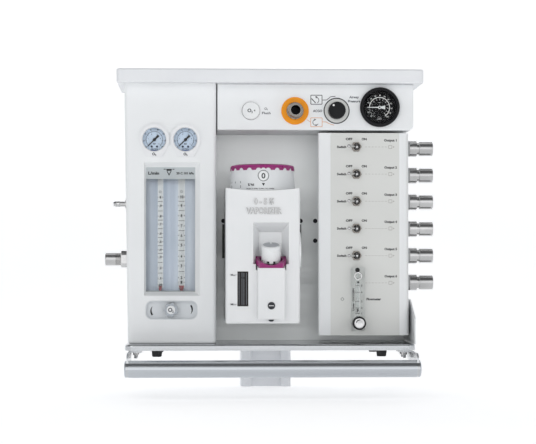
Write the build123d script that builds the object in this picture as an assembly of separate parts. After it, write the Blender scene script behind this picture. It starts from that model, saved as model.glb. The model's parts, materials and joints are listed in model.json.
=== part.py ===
from build123d import *

import math
import os

# A bench or column mounted veterinary anaesthesia machine head.
# Millimetres. +Z is up, the front faces -Y and +X is to the right as seen from the front.
# The origin is the centre of the column's bottom face.

# Driving dimensions: the planes that the whole head is built between.
BASE_BOTTOM = 68.0
BASE_TOP = 77.0
HEAD_TOP = 467.7
TRAY_TOP = 488.4
HALF_WIDTH = 216.5
TRAY_HALF_WIDTH = 230.0
CHEEK_THICKNESS = 2.0
BASE_FRONT = -230.0
CABINET_FRONT = -205.0
UPPER_FRONT = -202.0
RIGHT_FRONT = -200.0
PANEL_FRONT = -90.0
PANEL_BACK = -87.0
HEAD_BACK = -40.0
WALL = 2.5
FIT = 0.06

# Column profile.
COLUMN_X = 80.0
COLUMN_Y = 70.0
COLUMN_HEIGHT = 392.0
COLUMN_CHANNEL = 48.5
COLUMN_CHANNEL_DEPTH = 8.0
COLUMN_PORT_X = 32.0
COLUMN_PORT_Y = 27.0
COLUMN_PORT_R = 3.4

# Left cabinet: its outer side leans outwards towards the top.
LEFT_BOTTOM_X = -213.0
LEFT_TOP_X = -219.0
LEFT_INNER_X = -81.0

# Supply pressure gauges on the left cabinet.
GAUGE_XS = (-173.8, -127.1)
GAUGE_Z = 383.3
GAUGE_CASE_R = 20.0
GAUGE_BEZEL_R = 22.8

# Flow tube window and tubes.
WINDOW_X = (-186.0, -112.5)
WINDOW_Z = (154.7, 341.7)
WINDOW_RIM_X = (-189.0, -105.0)
WINDOW_RIM_Z = (149.0, 349.0)
TUBE_Y = -187.0
LOW_TUBE = {"x": -164.9, "outer": 4.25, "inner": 3.2, "float": 2.9}
HIGH_TUBE = {"x": -133.1, "outer": 5.5, "inner": 4.2, "float": 3.9}
TUBE_BOTTOM = 150.0
TUBE_TOP = 347.0

# Oxygen flow control.
KNOB_X = -148.4
KNOB_Z = 128.0
KNOB_RECESS_X = (-187.0, -108.7)
KNOB_RECESS_Z = (113.0, 142.0)

# Upper control box.
UPPER_X = (-79.3, 216.8)
UPPER_BOTTOM = 398.0
FLUSH_X, FLUSH_Z = -28.8, 426.8
OUTLET_X, OUTLET_Z = 37.6, 427.0
SELECTOR_X, SELECTOR_Z = 100.4, 427.3
AIRWAY_X, AIRWAY_Z = 165.5, 432.7

# Right box with the output row.
RIGHT_X = (72.4, 210.0)
RIGHT_REAR_X = 80.5
RIGHT_Z = (89.0, 394.0)
ROW_PITCH = 41.0
ROW_TOP = 373.0
SWITCH_X = 130.2
SWITCH_LEAN = 36.0
SWITCH_PIVOT_Y = -205.6
OUTPUT_Y = -155.0
METER_X = (121.5, 141.7)
METER_Z = (96.6, 191.2)
METER_FRONT = -214.0
METER_KNOB_X, METER_KNOB_Z = 132.4, 108.2
METER_BORE_R = 3.0

# Conical gas connectors, 22 mm outside and 15 mm inside.
CONNECTOR_R = 11.0
SOCKET_R = 7.5

# Vaporizer.
VAPORIZER_X = (-67.3, 42.5)
VAPORIZER_FRONT = -250.0
VAPORIZER_BACK = -112.0
VAPORIZER_Z = (109.0, 309.0)
DIAL_X, DIAL_Y = -11.5, -196.0
DIAL_BOTTOM = 305.4
DIAL_R = 49.5
FILLER_X = -0.4
FILLER_TILT = 17.0
FILLER_Y = -244.0
FILLER_Z = 204.0
COLLAR_THICKNESS = 7.5
CAP_R = 14.3
DRAIN_Z = 135.6

# Front handle.
HANDLE_Y = -309.0
HANDLE_Z = 46.0
HANDLE_R = 12.5
HANDLE_HALF = 207.4
BRACKET_THICKNESS = 3.0


def block(x, y, z):
    """A box that fills the given ranges of X, Y and Z."""
    centre = ((x[0] + x[1]) / 2, (y[0] + y[1]) / 2, (z[0] + z[1]) / 2)
    return Pos(*centre) * Box(x[1] - x[0], y[1] - y[0], z[1] - z[0])


def rod_x(y, z, x0, x1, radius):
    """A round rod along X."""
    return Pos((x0 + x1) / 2, y, z) * Rot(0, 90, 0) * Cylinder(radius, x1 - x0)


def rod_y(x, z, y0, y1, radius):
    """A round rod along Y."""
    return Pos(x, (y0 + y1) / 2, z) * Rot(90, 0, 0) * Cylinder(radius, y1 - y0)


def rod_z(x, y, z0, z1, radius):
    """A round rod along Z."""
    return Pos(x, y, (z0 + z1) / 2) * Cylinder(radius, z1 - z0)


def turned(points):
    """A solid of revolution about Z from an outline of (radius, height) points."""
    outline = Polyline(*[(radius, 0, height) for radius, height in points], close=True)
    return revolve(make_face(outline), Axis.Z)


def facing_front(shape, x, y, z):
    """Turns a shape built up along +Z so that it stands out of the front at (x, y, z)."""
    return Pos(x, y, z) * Rot(90, 0, 0) * shape


def facing_right(shape, x, y, z):
    """Turns a shape built up along +Z so that it stands out of the right side."""
    return Pos(x, y, z) * Rot(0, 90, 0) * shape


def facing_left(shape, x, y, z):
    """Turns a shape built up along +Z so that it stands out of the left side."""
    return Pos(x, y, z) * Rot(0, -90, 0) * shape


def slab(points, y0, y1):
    """An outline of (X, Z) points carried from y0 back to y1."""
    face = make_face(Polyline(*[(x, y1, z) for x, z in points], close=True))
    return extrude(face, amount=y1 - y0, dir=(0, -1, 0))


def rectangle_points(x, z):
    """The corners of a rectangle in X and Z."""
    return [(x[0], z[0]), (x[1], z[0]), (x[1], z[1]), (x[0], z[1])]


def round_slab(x, z, y0, y1, radius):
    """A round-cornered rectangle in X and Z, carried from y0 back to y1."""
    centre = ((x[0] + x[1]) / 2, y1, (z[0] + z[1]) / 2)
    plane = Plane(origin=centre, x_dir=(1, 0, 0), z_dir=(0, -1, 0))
    return extrude(plane * RectangleRounded(x[1] - x[0], z[1] - z[0], radius), amount=y1 - y0)


def grown(span, by):
    """A range made longer by the same amount at both ends."""
    return (span[0] - by, span[1] + by)


def long_edges(shape, y, length):
    """The edges that lie wholly at one Y and are longer than the given length."""
    return [e for e in shape.edges() if e.length > length and on_plane(e, y)]


def on_plane(edge, y):
    """Whether both ends of an edge have this Y."""
    return abs(edge.start_point().Y - y) < 0.01 and abs(edge.end_point().Y - y) < 0.01


# ---------------------------------------------------------------- stand and base


def column():
    """Extruded post with a channel down its front face, cross webs and four screw ports."""
    half_y = COLUMN_Y / 2
    section = RectangleRounded(COLUMN_X, COLUMN_Y, 6)
    section -= Pos(0, -half_y) * RectangleRounded(COLUMN_CHANNEL, 2 * COLUMN_CHANNEL_DEPTH, 3)
    for x in (-18.5, 18.5):
        section -= Pos(x, 18) * RectangleRounded(31, 20, 4)
        section -= Pos(x, -8) * RectangleRounded(31, 24, 4)
    for x in (-COLUMN_PORT_X, COLUMN_PORT_X):
        for y in (-COLUMN_PORT_Y, COLUMN_PORT_Y):
            section += Pos(x, y) * Circle(COLUMN_PORT_R + 2.5)
            section -= Pos(x, y) * Circle(COLUMN_PORT_R)
    return extrude(section, amount=COLUMN_HEIGHT)


def column_cap():
    """Plastic cap that closes the top of the post."""
    cap = Pos(0, 0, COLUMN_HEIGHT) * extrude(RectangleRounded(COLUMN_X, COLUMN_Y, 6), amount=3)
    return fillet(cap.edges().group_by(Axis.Z)[-1], 1.5)


def column_bracket():
    """Plate between the head and the column, with a key that fills the column's channel."""
    plate = block((-34, 34), (HEAD_BACK, -COLUMN_Y / 2), (110, 370))
    key = block((-20, 20), (-COLUMN_Y / 2, -COLUMN_Y / 2 + 7.6), (120, 360))
    return plate + key


def base_plate():
    """Polished base that everything on the head stands on."""
    plate = Pos(0, (BASE_FRONT + HEAD_BACK) / 2, BASE_BOTTOM) * extrude(
        RectangleRounded(2 * HALF_WIDTH, HEAD_BACK - BASE_FRONT, 12), amount=BASE_TOP - BASE_BOTTOM
    )
    plate = fillet(plate.edges().group_by(Axis.Z)[-1], 3)
    for x, y in bolt_places():
        plate -= rod_z(x, y, BASE_BOTTOM - 1, BASE_BOTTOM + 6, 2.75)
    return plate


def rubber_feet():
    """Four tapered feet under the base."""
    foot = turned([(0, 0), (6.6, 0), (7.2, 1), (8.25, 10), (8.25, 11.5), (0, 11.5)])
    places = [(x, y) for x in (-170, 170) for y in (-181, -55)]
    return Compound(children=[Pos(x, y, BASE_BOTTOM - 11.5) * foot for x, y in places])


def bolt_places():
    """Where the handle brackets are bolted to the base."""
    return [(side * 200.5, y) for side in (-1, 1) for y in (-217, -192)]


def handle_brackets():
    """Two webs that carry the handle, each with a flange bolted under the base."""
    made = []
    for side in (-1, 1):
        inner = side * HANDLE_HALF
        outer = side * (HANDLE_HALF + BRACKET_THICKNESS)
        span = (min(inner, outer), max(inner, outer))
        outline = [(-182, 68), (-182, 60), (-235, 46), (-309, 36), (-318, 48), (-316, 62), (-305, 68)]
        face = make_face(Polyline(*[(span[0], y, z) for y, z in outline], close=True))
        web = extrude(face, amount=BRACKET_THICKNESS, dir=(1, 0, 0))
        web += rod_x(HANDLE_Y, HANDLE_Z, span[0], span[1], HANDLE_R - 0.6)
        flange_x = (191.5, HANDLE_HALF + 1) if side > 0 else (-HANDLE_HALF - 1, -191.5)
        flange = block(flange_x, (-226, -182), (BASE_BOTTOM - BRACKET_THICKNESS, BASE_BOTTOM))
        bracket = web + flange
        for x, y in bolt_places():
            bracket -= rod_z(x, y, 60, 70, 2.75)
        made.append(bracket)
    return Compound(children=made)


def bracket_bolts():
    """Four studs that hold the handle brackets, each with a hexagon nut below the flange."""
    nut = Pos(0, 0, 5) * extrude(RegularPolygon(4.2, 6), amount=4)
    stud = turned([(0, 0), (2.1, 0), (2.5, 0.5), (2.5, 17), (0, 17)])
    tip = BASE_BOTTOM - BRACKET_THICKNESS - 9
    return Compound(children=[Pos(x, y, tip) * (stud + nut) for x, y in bolt_places()])


def handle_tube():
    """Full-width handle across the front, a straight tube between the brackets."""
    tube = rod_x(HANDLE_Y, HANDLE_Z, -HANDLE_HALF, HANDLE_HALF, HANDLE_R)
    return tube - rod_x(HANDLE_Y, HANDLE_Z, -HANDLE_HALF - 1, HANDLE_HALF + 1, HANDLE_R - 1.5)


def handle_end_caps():
    """Domed caps outside the brackets, one at each end of the handle."""
    cap = turned([(0, 0), (HANDLE_R, 0), (HANDLE_R, 1.2), (HANDLE_R - 1.2, 2.6), (HANDLE_R - 4, 3.4), (0, 3.8)])
    end = HANDLE_HALF + BRACKET_THICKNESS
    right = facing_right(cap, end, HANDLE_Y, HANDLE_Z)
    left = facing_left(cap, -end, HANDLE_Y, HANDLE_Z)
    return Compound(children=[left, right])


def back_panel():
    """Satin sheet behind all the boxes, with spare fixing holes beside the vaporizer."""
    right = HALF_WIDTH - CHEEK_THICKNESS
    outline = [(LEFT_BOTTOM_X, BASE_TOP), (right, BASE_TOP), (right, HEAD_TOP), (LEFT_TOP_X, HEAD_TOP)]
    panel = slab(outline, PANEL_FRONT, PANEL_BACK)
    for x, z in ((-68.5, 263.4), (52.5, 263.4), (75.5, 263.4), (75.5, 232.4)):
        panel -= rod_y(x, z, PANEL_FRONT - 1, PANEL_BACK + 1, 3.5)
    return panel


def rear_housing():
    """Cover over the pipework behind the back panel, with louvres low on its back."""
    x = (-185, 185)
    z = (BASE_TOP, HEAD_TOP)
    cover = block(x, (PANEL_BACK, HEAD_BACK), z)
    cover = fillet(long_edges(cover, HEAD_BACK, 300), 8)
    cover -= block(grown(x, -2), (PANEL_BACK - 1, HEAD_BACK - 2), grown(z, -2))
    for row in range(5):
        low = 110 + 12 * row
        for centre in (-110, 110):
            cover -= round_slab((centre - 35, centre + 35), (low, low + 4), HEAD_BACK - 3, HEAD_BACK + 1, 1.9)
    return cover


def top_tray():
    """Shelf on top, with a shallow recess inside its raised rim."""
    front = -223
    centre = (front + HEAD_BACK) / 2
    depth = HEAD_BACK - front
    tray = Pos(0, centre, HEAD_TOP) * extrude(
        RectangleRounded(2 * TRAY_HALF_WIDTH, depth, 6), amount=TRAY_TOP - HEAD_TOP
    )
    tray = fillet(tray.edges().group_by(Axis.Z)[-1], 3)
    tray = chamfer(tray.edges().group_by(Axis.Z)[0], 1)
    recess = Pos(0, centre, TRAY_TOP - 3) * extrude(
        RectangleRounded(2 * TRAY_HALF_WIDTH - 18, depth - 18, 5), amount=10
    )
    return tray - recess


def side_cheek():
    """Upright plate on the right, low at the front and stepped up beside the right box."""
    points = [(BASE_FRONT + 1, BASE_TOP), (BASE_FRONT + 1, 116), (-165, 142), (PANEL_FRONT, 142), (PANEL_FRONT, BASE_TOP)]
    inner = HALF_WIDTH - CHEEK_THICKNESS
    face = make_face(Polyline(*[(inner, y, z) for y, z in points], close=True))
    return extrude(face, amount=CHEEK_THICKNESS, dir=(1, 0, 0))


# ---------------------------------------------------------------- left cabinet


def left_wall_x(z):
    """The X of the left cabinet's leaning outer side at a height."""
    share = (z - BASE_TOP) / (HEAD_TOP - BASE_TOP)
    return LEFT_BOTTOM_X + share * (LEFT_TOP_X - LEFT_BOTTOM_X)


def left_outline(inset):
    """The left cabinet's front outline, moved inwards by the inset."""
    low, high = BASE_TOP + inset, HEAD_TOP - inset
    return [
        (left_wall_x(low) + inset, low),
        (LEFT_INNER_X - inset, low),
        (LEFT_INNER_X - inset, high),
        (left_wall_x(high) + inset, high),
    ]


def left_cabinet():
    """Moulded cover with two gauge holes, the flow tube window and the knob opening."""
    cover = slab(left_outline(0), CABINET_FRONT, PANEL_FRONT)
    cover = fillet(long_edges(cover, CABINET_FRONT, 300), 6)
    lower = [e for e in long_edges(cover, CABINET_FRONT, 100) if e.center().Z < BASE_TOP + 1]
    cover = fillet(lower, 4)
    cover -= slab(left_outline(WALL), CABINET_FRONT + WALL, PANEL_FRONT + 1)
    rim_back = CABINET_FRONT + 8
    cover += block(grown(WINDOW_X, 9), (CABINET_FRONT + WALL, rim_back), grown(WINDOW_Z, 9))
    cover -= window_cut(CABINET_FRONT, rim_back)
    for x in GAUGE_XS:
        cover -= rod_y(x, GAUGE_Z, CABINET_FRONT - 1, CABINET_FRONT + WALL + 1, GAUGE_CASE_R + 0.2)
    cover -= round_slab(KNOB_RECESS_X, KNOB_RECESS_Z, CABINET_FRONT - 1, CABINET_FRONT + WALL + 1, 10)
    cover -= rod_x(-145, 288, -225, -205, 4.1)
    cover -= rod_x(-145, 203.6, -225, -205, 6.1)
    return cover


def window_cut(y0, y1):
    """The window's opening, wider at its front edge than at the glass."""
    rims = ((rectangle_points(WINDOW_RIM_X, WINDOW_RIM_Z), y0), (rectangle_points(WINDOW_X, WINDOW_Z), y1))
    faces = [make_face(Polyline(*[(x, y, z) for x, z in points], close=True)) for points, y in rims]
    return loft(faces, ruled=True)


def gauge_bezels():
    """Two front plates, round above and narrowing to a flat foot below the dial."""
    foot_z = -26.1
    made = []
    for x in GAUGE_XS:
        plate = rod_y(0, 0, -3, 0, GAUGE_BEZEL_R)
        plate += slab([(-20.2, -10.3), (20.2, -10.3), (12.35, foot_z), (-12.35, foot_z)], -3, 0)
        plate -= Rot(90, 0, 0) * turned([(0, -1), (17.4, -1), (17.4, 1.4), (18.6, 3.1), (18.6, 4), (0, 4)])
        made.append(Pos(x, CABINET_FRONT, GAUGE_Z) * plate)
    return Compound(children=made)


def gauge_cases():
    """Two gauge cans, each with a dial floor, a needle spindle and a rear inlet stub."""
    spindle = turned([(0, 2), (1.0, 2), (1.0, 4.8), (0, 4.8)])
    can = turned(
        [(0, -26), (5, -26), (5, -14), (GAUGE_CASE_R, -14), (GAUGE_CASE_R, 10), (18.4, 10), (18.4, 2.2), (0, 2.2)]
    )
    shape = can + spindle
    return Compound(children=[facing_front(shape, x, CABINET_FRONT + 10, GAUGE_Z) for x in GAUGE_XS])


def lens_disc(radius, thickness):
    """A flat glass with a small edge bevel."""
    return turned([(0, 0), (radius, 0), (radius, thickness - 0.3), (radius - 0.3, thickness), (0, thickness)])


def gauge_lenses():
    """The glasses of the two supply gauges and of the airway gauge."""
    lenses = [facing_front(lens_disc(18.3, 1.6), x, CABINET_FRONT + 1.7, GAUGE_Z) for x in GAUGE_XS]
    lenses.append(facing_front(lens_disc(25.3, 1.6), AIRWAY_X, UPPER_FRONT - 4.2, AIRWAY_Z))
    return Compound(children=lenses)


def needle(length, tail, flare, root, tip):
    """A gauge needle in the XZ plane that points along +X, bored for its spindle. Its tail widens to the flare."""
    blade = [(-tail, -flare), (0, -root), (length, -tip), (length, tip), (0, root), (-tail, flare)]
    hand = slab(blade, -0.6, 0)
    hand += rod_y(0, 0, -1.2, 0.6, 2.4)
    return hand - rod_y(0, 0, -3, 3, 1.0 + FIT)


def supply_needle(x):
    """Supply gauge needle, at rest towards the lower left."""
    return Pos(x, CABINET_FRONT + 6.4, GAUGE_Z) * Rot(0, 135, 0) * needle(14.3, 8.8, 1.9, 1.0, 0.45)


def flow_window():
    """Clear pane behind the window's rim."""
    back = CABINET_FRONT + 8
    return block(grown(WINDOW_X, 4), (back, back + 2), grown(WINDOW_Z, 4))


def flow_backplate():
    """Bright plate behind the flow tubes."""
    return block(grown(WINDOW_X, 2), (-179, -177), (WINDOW_Z[0] + 1.5, WINDOW_Z[1] - 0.5))


def flow_blocks():
    """Manifold blocks that seat the flow tubes at the bottom and the top."""
    lower = block((-189, -109.5), (-194.5, -172), (117, WINDOW_Z[0] + 1.2))
    upper = block((-189, -109.5), (-194.5, -172), (WINDOW_Z[1], 356))
    for tube in (LOW_TUBE, HIGH_TUBE):
        seat = tube["outer"] + 0.05
        lower -= rod_z(tube["x"], TUBE_Y, TUBE_BOTTOM, 160, seat)
        upper -= rod_z(tube["x"], TUBE_Y, 340, TUBE_TOP, seat)
        lower -= rod_z(tube["x"], TUBE_Y, 140, 160, 1.5)
    lower -= rod_y(KNOB_X, KNOB_Z, -196, -182, 6.05)
    return Compound(children=[lower, upper])


def flow_tubes():
    """The low and high range flow tubes."""
    made = []
    for tube in (LOW_TUBE, HIGH_TUBE):
        glass = rod_z(tube["x"], TUBE_Y, TUBE_BOTTOM, TUBE_TOP, tube["outer"])
        made.append(glass - rod_z(tube["x"], TUBE_Y, TUBE_BOTTOM - 1, TUBE_TOP + 1, tube["inner"]))
    return Compound(children=made)


def flow_float(tube):
    """A spinning float: a flat-topped head above a tapered tail, at rest on its seat."""
    r = tube["float"]
    base = WINDOW_Z[0] + 1.6
    shape = turned([(0, 0), (0.5 * r, 0), (0.85 * r, 3.2), (0.85 * r, 5.4), (r, 6.2), (r, 7.6), (0, 7.6)])
    return Pos(tube["x"], TUBE_Y, base) * shape


def knob_recess():
    """Grey dished insert behind the oxygen flow knob."""
    gap = -0.05
    back = CABINET_FRONT + 8
    cup = round_slab(grown(KNOB_RECESS_X, gap), grown(KNOB_RECESS_Z, gap), CABINET_FRONT + 0.2, back, 9.9)
    cup -= round_slab(grown(KNOB_RECESS_X, -1.6), grown(KNOB_RECESS_Z, -1.6), CABINET_FRONT - 1, back - 1.6, 8.4)
    return cup - rod_y(KNOB_X, KNOB_Z, CABINET_FRONT, back + 1, 6.05)


def needle_valve_body():
    """Bonnet of the oxygen needle valve, screwed into the lower manifold block."""
    bonnet = rod_y(KNOB_X, KNOB_Z, -200.5, -183, 6)
    return bonnet - rod_y(KNOB_X, KNOB_Z, -202, -185, 2 + FIT)


def fluted_knob(outer, height, lobes, lobe_depth):
    """A round knob with finger flutes round its rim, built up along +Z."""
    knob = turned([(0, 0), (outer, 0), (outer, height - 1.2), (outer - 1.2, height), (0, height)])
    flute = 2.2 * lobe_depth
    for step in range(lobes):
        angle = math.radians(360 * step / lobes)
        reach = outer + flute - lobe_depth
        knob -= rod_z(reach * math.cos(angle), reach * math.sin(angle), -1, height + 1, flute)
    return knob


def oxygen_flow_knob():
    """Lobed oxygen flow knob and its valve spindle."""
    knob = fluted_knob(11, 11, 7, 2.4)
    knob += turned([(0, 10), (7.4, 10), (7.4, 11.8), (6.8, 12.4), (0, 12.4)])
    knob += turned([(0, -15.5), (2, -14), (2, 0.5), (0, 0.5)])
    return facing_front(knob, KNOB_X, CABINET_FRONT + 3.8, KNOB_Z)


def hose_barb():
    """Small barbed scavenging tail on the left side."""
    barb = turned(
        [(0, -11), (4, -11), (4, 0), (7.5, 0), (7.5, 2.8), (4, 3.4), (4, 11), (4.6, 12), (4, 16)]
        + [(4.6, 17), (3.2, 21.1), (1.9, 21.1), (1.9, 6), (0, 6)]
    )
    return facing_left(barb, -216.4, -145, 288)


def inlet_connector():
    """Oxygen inlet: a hexagon against the wall, a thread and a smooth nose with its bore."""
    hexagon = chamfer(extrude(RegularPolygon(12.8, 6), amount=10.8).edges().group_by(Axis.Z)[-1], 0.8)
    body = hexagon + turned([(0, -10), (6, -10), (6, 0.5), (0, 0.5)])
    thread = [(0, 10), (9.2, 10)]
    for turn in range(6):
        low = 10.8 + 1.4 * turn
        thread += [(9.2, low), (10, low + 0.45), (10, low + 0.95)]
    thread += [(9.2, 19.2), (0, 19.2)]
    body += turned(thread)
    body += turned([(0, 19), (9.75, 19), (9.75, 33.6), (8.9, 34.6), (0, 34.6)])
    body -= rod_z(0, 0, 14.6, 40, 5)
    return facing_left(body, -215.2, -145, 203.6)


# ---------------------------------------------------------------- upper control box


def upper_box():
    """Control box across the top, open at the back, with four control openings."""
    z = (UPPER_BOTTOM, HEAD_TOP)
    corner = 5
    outline = rectangle_points(UPPER_X, z)
    outline[1:2] = [(UPPER_X[1] - corner, z[0]), (UPPER_X[1], z[0] + corner)]
    box = slab(outline, UPPER_FRONT, PANEL_FRONT)
    box = fillet(long_edges(box, UPPER_FRONT, 1), 2)
    box -= block(grown(UPPER_X, -WALL), (UPPER_FRONT + WALL, PANEL_FRONT + 1), grown(z, -WALL))
    for x, hole_z, radius in (
        (FLUSH_X, FLUSH_Z, 13.9),
        (OUTLET_X, OUTLET_Z, CONNECTOR_R + 0.1),
        (SELECTOR_X, SELECTOR_Z, 4 + FIT),
        (AIRWAY_X, AIRWAY_Z, 27.2),
    ):
        box -= rod_y(x, hole_z, UPPER_FRONT - 1, UPPER_FRONT + WALL + 1, radius)
    return box


def flush_button():
    """Oxygen flush push button with its stem."""
    button = turned([(0, 0), (13.4, 0), (13.4, 8.6), (12.2, 10), (0, 10)])
    stem = turned([(0, -18), (4, -18), (4, 0.5), (0, 0.5)])
    return facing_front(button + stem, FLUSH_X, UPPER_FRONT + 6, FLUSH_Z)


def flush_valve_body():
    """Cup behind the panel that guides the button and seats its spring."""
    cup = turned([(4 + FIT, 0), (16, 0), (16, 29.5), (13.9, 29.5), (13.9, 14.5), (4 + FIT, 14.5)])
    return facing_front(cup, FLUSH_X, UPPER_FRONT + WALL + 29.5, FLUSH_Z)


def flush_spring():
    """Return spring between the valve cup's floor and the button."""
    coil = Helix(pitch=2.9, height=8.6, radius=7.5)
    wire = Plane(origin=coil @ 0, z_dir=coil % 0) * Circle(0.6)
    spring = sweep(wire, path=coil, is_frenet=True)
    floor = UPPER_FRONT + WALL + 15
    return facing_front(spring, FLUSH_X, floor - 1.0, FLUSH_Z)


def outlet_ring():
    """Orange ring round the common gas outlet."""
    ring = turned([(12.7, 0), (20.7, 0), (20.7, 1.6), (20.1, 2.2), (13.1, 2.2), (12.7, 1.8)])
    return facing_front(ring, OUTLET_X, UPPER_FRONT, OUTLET_Z)


def connector(start, shoulder, length):
    """A gas connector built up along +Z: shank, collar, neck, 22 mm nose and 15 mm socket."""
    return turned(
        [(0, -start), (CONNECTOR_R - 3.1, -start), (CONNECTOR_R - 3.1, 0), (10.6, 0), (12.25, shoulder * 0.35)]
        + [(12.25, shoulder), (9.25, shoulder), (9.25, shoulder + 4), (10.6, shoulder + 4), (CONNECTOR_R, shoulder + 4.6)]
        + [(CONNECTOR_R, length - 0.6), (10.5, length), (SOCKET_R, length), (SOCKET_R, 3), (0, 3)]
    )


def gas_outlet():
    """Common gas outlet: collar at the panel and a 22 mm nose with a 15 mm socket."""
    outlet = turned(
        [(0, -18), (CONNECTOR_R, -18), (CONNECTOR_R, 0.0), (12.5, 0), (12.5, 3.2), (CONNECTOR_R, 3.8)]
        + [(CONNECTOR_R, 19.4), (10.5, 20), (SOCKET_R, 20), (SOCKET_R, -15), (0, -15)]
    )
    return facing_front(outlet, OUTLET_X, UPPER_FRONT, OUTLET_Z)


def selector_knob():
    """Selector knob with a raised finger bar edge and its shaft."""
    knob = turned([(0, 0), (13, 0), (13, 2), (12.6, 13.4), (11.6, 14.6), (0, 14.6)])
    for step in range(20):
        angle = math.radians(18 * step)
        knob -= rod_z(13.5 * math.cos(angle), 13.5 * math.sin(angle), 3, 20, 1.0)
    knob += turned([(0, -16), (4, -16), (4, 0.5), (0, 0.5)])
    return facing_front(knob, SELECTOR_X, UPPER_FRONT - 1, SELECTOR_Z)


def airway_gauge_case():
    """Black airway gauge: a wide bezel in front of the panel and the can behind it."""
    case = turned(
        [(0, -34), (6, -34), (6, -20), (27, -20), (27, 0), (29.8, 0), (29.8, 5.6), (28.4, 7.2), (25.5, 7.2)]
        + [(25.5, 4.2), (24.6, 4.2), (22, -3), (0, -3)]
    )
    case += rod_z(0, 0, -3.2, 0.6, 1.0)
    return facing_front(case, AIRWAY_X, UPPER_FRONT, AIRWAY_Z)


def airway_needle():
    """Airway gauge needle, at rest on zero at the left."""
    return Pos(AIRWAY_X, UPPER_FRONT + 1.2, AIRWAY_Z) * Rot(0, 180, 0) * needle(19.2, 8.4, 3.0, 0.8, 0.45)


# ---------------------------------------------------------------- right box


def switch_rows():
    """Heights of the five switched outputs, top first."""
    return [ROW_TOP - ROW_PITCH * row for row in range(5)]


def output_rows():
    """Heights of the six output connectors, top first."""
    return [ROW_TOP - ROW_PITCH * row for row in range(6)]


def plan_block(points, z0, z1):
    """A plan outline of (X, Y) points carried up from z0 to z1."""
    face = make_face(Polyline(*[(x, y, z0) for x, y in points], close=True))
    return extrude(face, amount=z1 - z0, dir=(0, 0, 1))


def right_plan(inset):
    """The right box's plan: its left side splays back to the right."""
    return [
        (RIGHT_X[0] + inset, RIGHT_FRONT + inset),
        (RIGHT_X[1] - inset, RIGHT_FRONT + inset),
        (RIGHT_X[1] - inset, PANEL_FRONT + (1 if inset else 0)),
        (RIGHT_REAR_X + inset, PANEL_FRONT + (1 if inset else 0)),
    ]


def right_box():
    """Output box, open at the back, for five switches, the flowmeter and six connectors."""
    box = plan_block(right_plan(0), *RIGHT_Z)
    fronts = long_edges(box, RIGHT_FRONT, 250)
    left = [e for e in fronts if e.center().X < 100]
    right = [e for e in fronts if e.center().X > 100]
    box = fillet(left, 3)
    box = fillet([e for e in long_edges(box, RIGHT_FRONT, 250) if e.center().X > 100], 9)
    box -= plan_block(right_plan(WALL), RIGHT_Z[0] + WALL, RIGHT_Z[1] - WALL)
    for z in switch_rows():
        box -= rod_y(SWITCH_X, z, RIGHT_FRONT - 1, RIGHT_FRONT + WALL + 1, 6.1)
    for z in output_rows():
        box -= rod_x(OUTPUT_Y, z, RIGHT_X[1] - WALL - 1, RIGHT_X[1] + 1, CONNECTOR_R - 3)
    box -= block(grown(METER_X, 0.1), (RIGHT_FRONT - 1, RIGHT_FRONT + WALL + 1), grown(METER_Z, 0.1))
    return box


def toggle_valves():
    """Five switch valves: nut and bush in front of the panel, valve block behind it."""
    body = extrude(RegularPolygon(8, 6), amount=2.8)
    body = chamfer(body.edges().group_by(Axis.Z)[-1], 0.5)
    body += rod_z(0, 0, -3, 7.2, 6)
    body += Pos(0, 0, -15) * Box(18, 18, 25)
    body -= rod_z(0, 0, 1.4, 8, 3.8)
    body -= Pos(0, 0, 5.6) * Rot(90, 0, 0) * Cylinder(0.8 + FIT, 11.2)
    return Compound(children=[facing_front(body, SWITCH_X, RIGHT_FRONT, z) for z in switch_rows()])


def toggle_lever(z):
    """Switch lever with its pivot ball and cross pin, leaning to the off side."""
    lever = Sphere(3.4) + Pos(0, 0, 12) * Cone(1.5, 2.1, 21) + Pos(0, 0, 22.4) * Sphere(2.4)
    lever += Rot(90, 0, 0) * Cylinder(0.8, 10.6)
    return Pos(SWITCH_X, SWITCH_PIVOT_Y, z) * Rot(0, 0, -SWITCH_LEAN) * Rot(90, 0, 0) * lever


def flowmeter_block():
    """Clear flowmeter block with its vertical float bore."""
    body = block(METER_X, (METER_FRONT, -186), METER_Z)
    body = chamfer(body.edges().filter_by(Axis.Z).group_by(Axis.Y)[0], 1)
    centre = METER_KNOB_X - 0.8
    body -= rod_z(centre, -203, 124, 170, METER_BORE_R)
    body -= rod_z(centre, -203, 110, 124.5, 1.2)
    body -= rod_z(centre, -203, 169.5, METER_Z[1] + 1, 1.2)
    return body - rod_y(METER_KNOB_X, METER_KNOB_Z, METER_FRONT - 1, -200, 2.5 + FIT)


def flowmeter_ball():
    """Small ball that rests at the bottom of the flowmeter bore."""
    radius = METER_BORE_R - 0.35
    return Pos(METER_KNOB_X - 0.8, -203, 124.3 + radius) * Sphere(radius)


def flowmeter_knob():
    """Flowmeter control knob: a rim round a dished face, and its spindle."""
    knob = turned(
        [(0, -13), (2.5, -13), (2.5, 0), (8.6, 0), (9.9, 2), (9.9, 12.4), (9.3, 13), (8.3, 13), (8.1, 12.2)]
        + [(6.4, 11.4), (0, 11.4)]
    )
    return facing_front(knob, METER_KNOB_X, METER_FRONT - 0.4, METER_KNOB_Z)


def output_connectors():
    """Six identical connectors along the right side."""
    shape = connector(9, 16.5, 41.3)
    return Compound(children=[facing_right(shape, RIGHT_X[1], OUTPUT_Y, z) for z in output_rows()])


# ---------------------------------------------------------------- vaporizer


def filler_place():
    """The filler's tilted frame, with its origin on the axis at the collar's top face."""
    return Pos(FILLER_X, FILLER_Y, FILLER_Z) * Rot(FILLER_TILT, 0, 0)


def vaporizer_mount():
    """Dark back bar that carries the vaporizer off the back panel."""
    bar = block((-70.5, 53), (-100, PANEL_FRONT), (205, 258))
    return bar + block((-50, 26), (VAPORIZER_BACK, -99), (212, 250))


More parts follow.
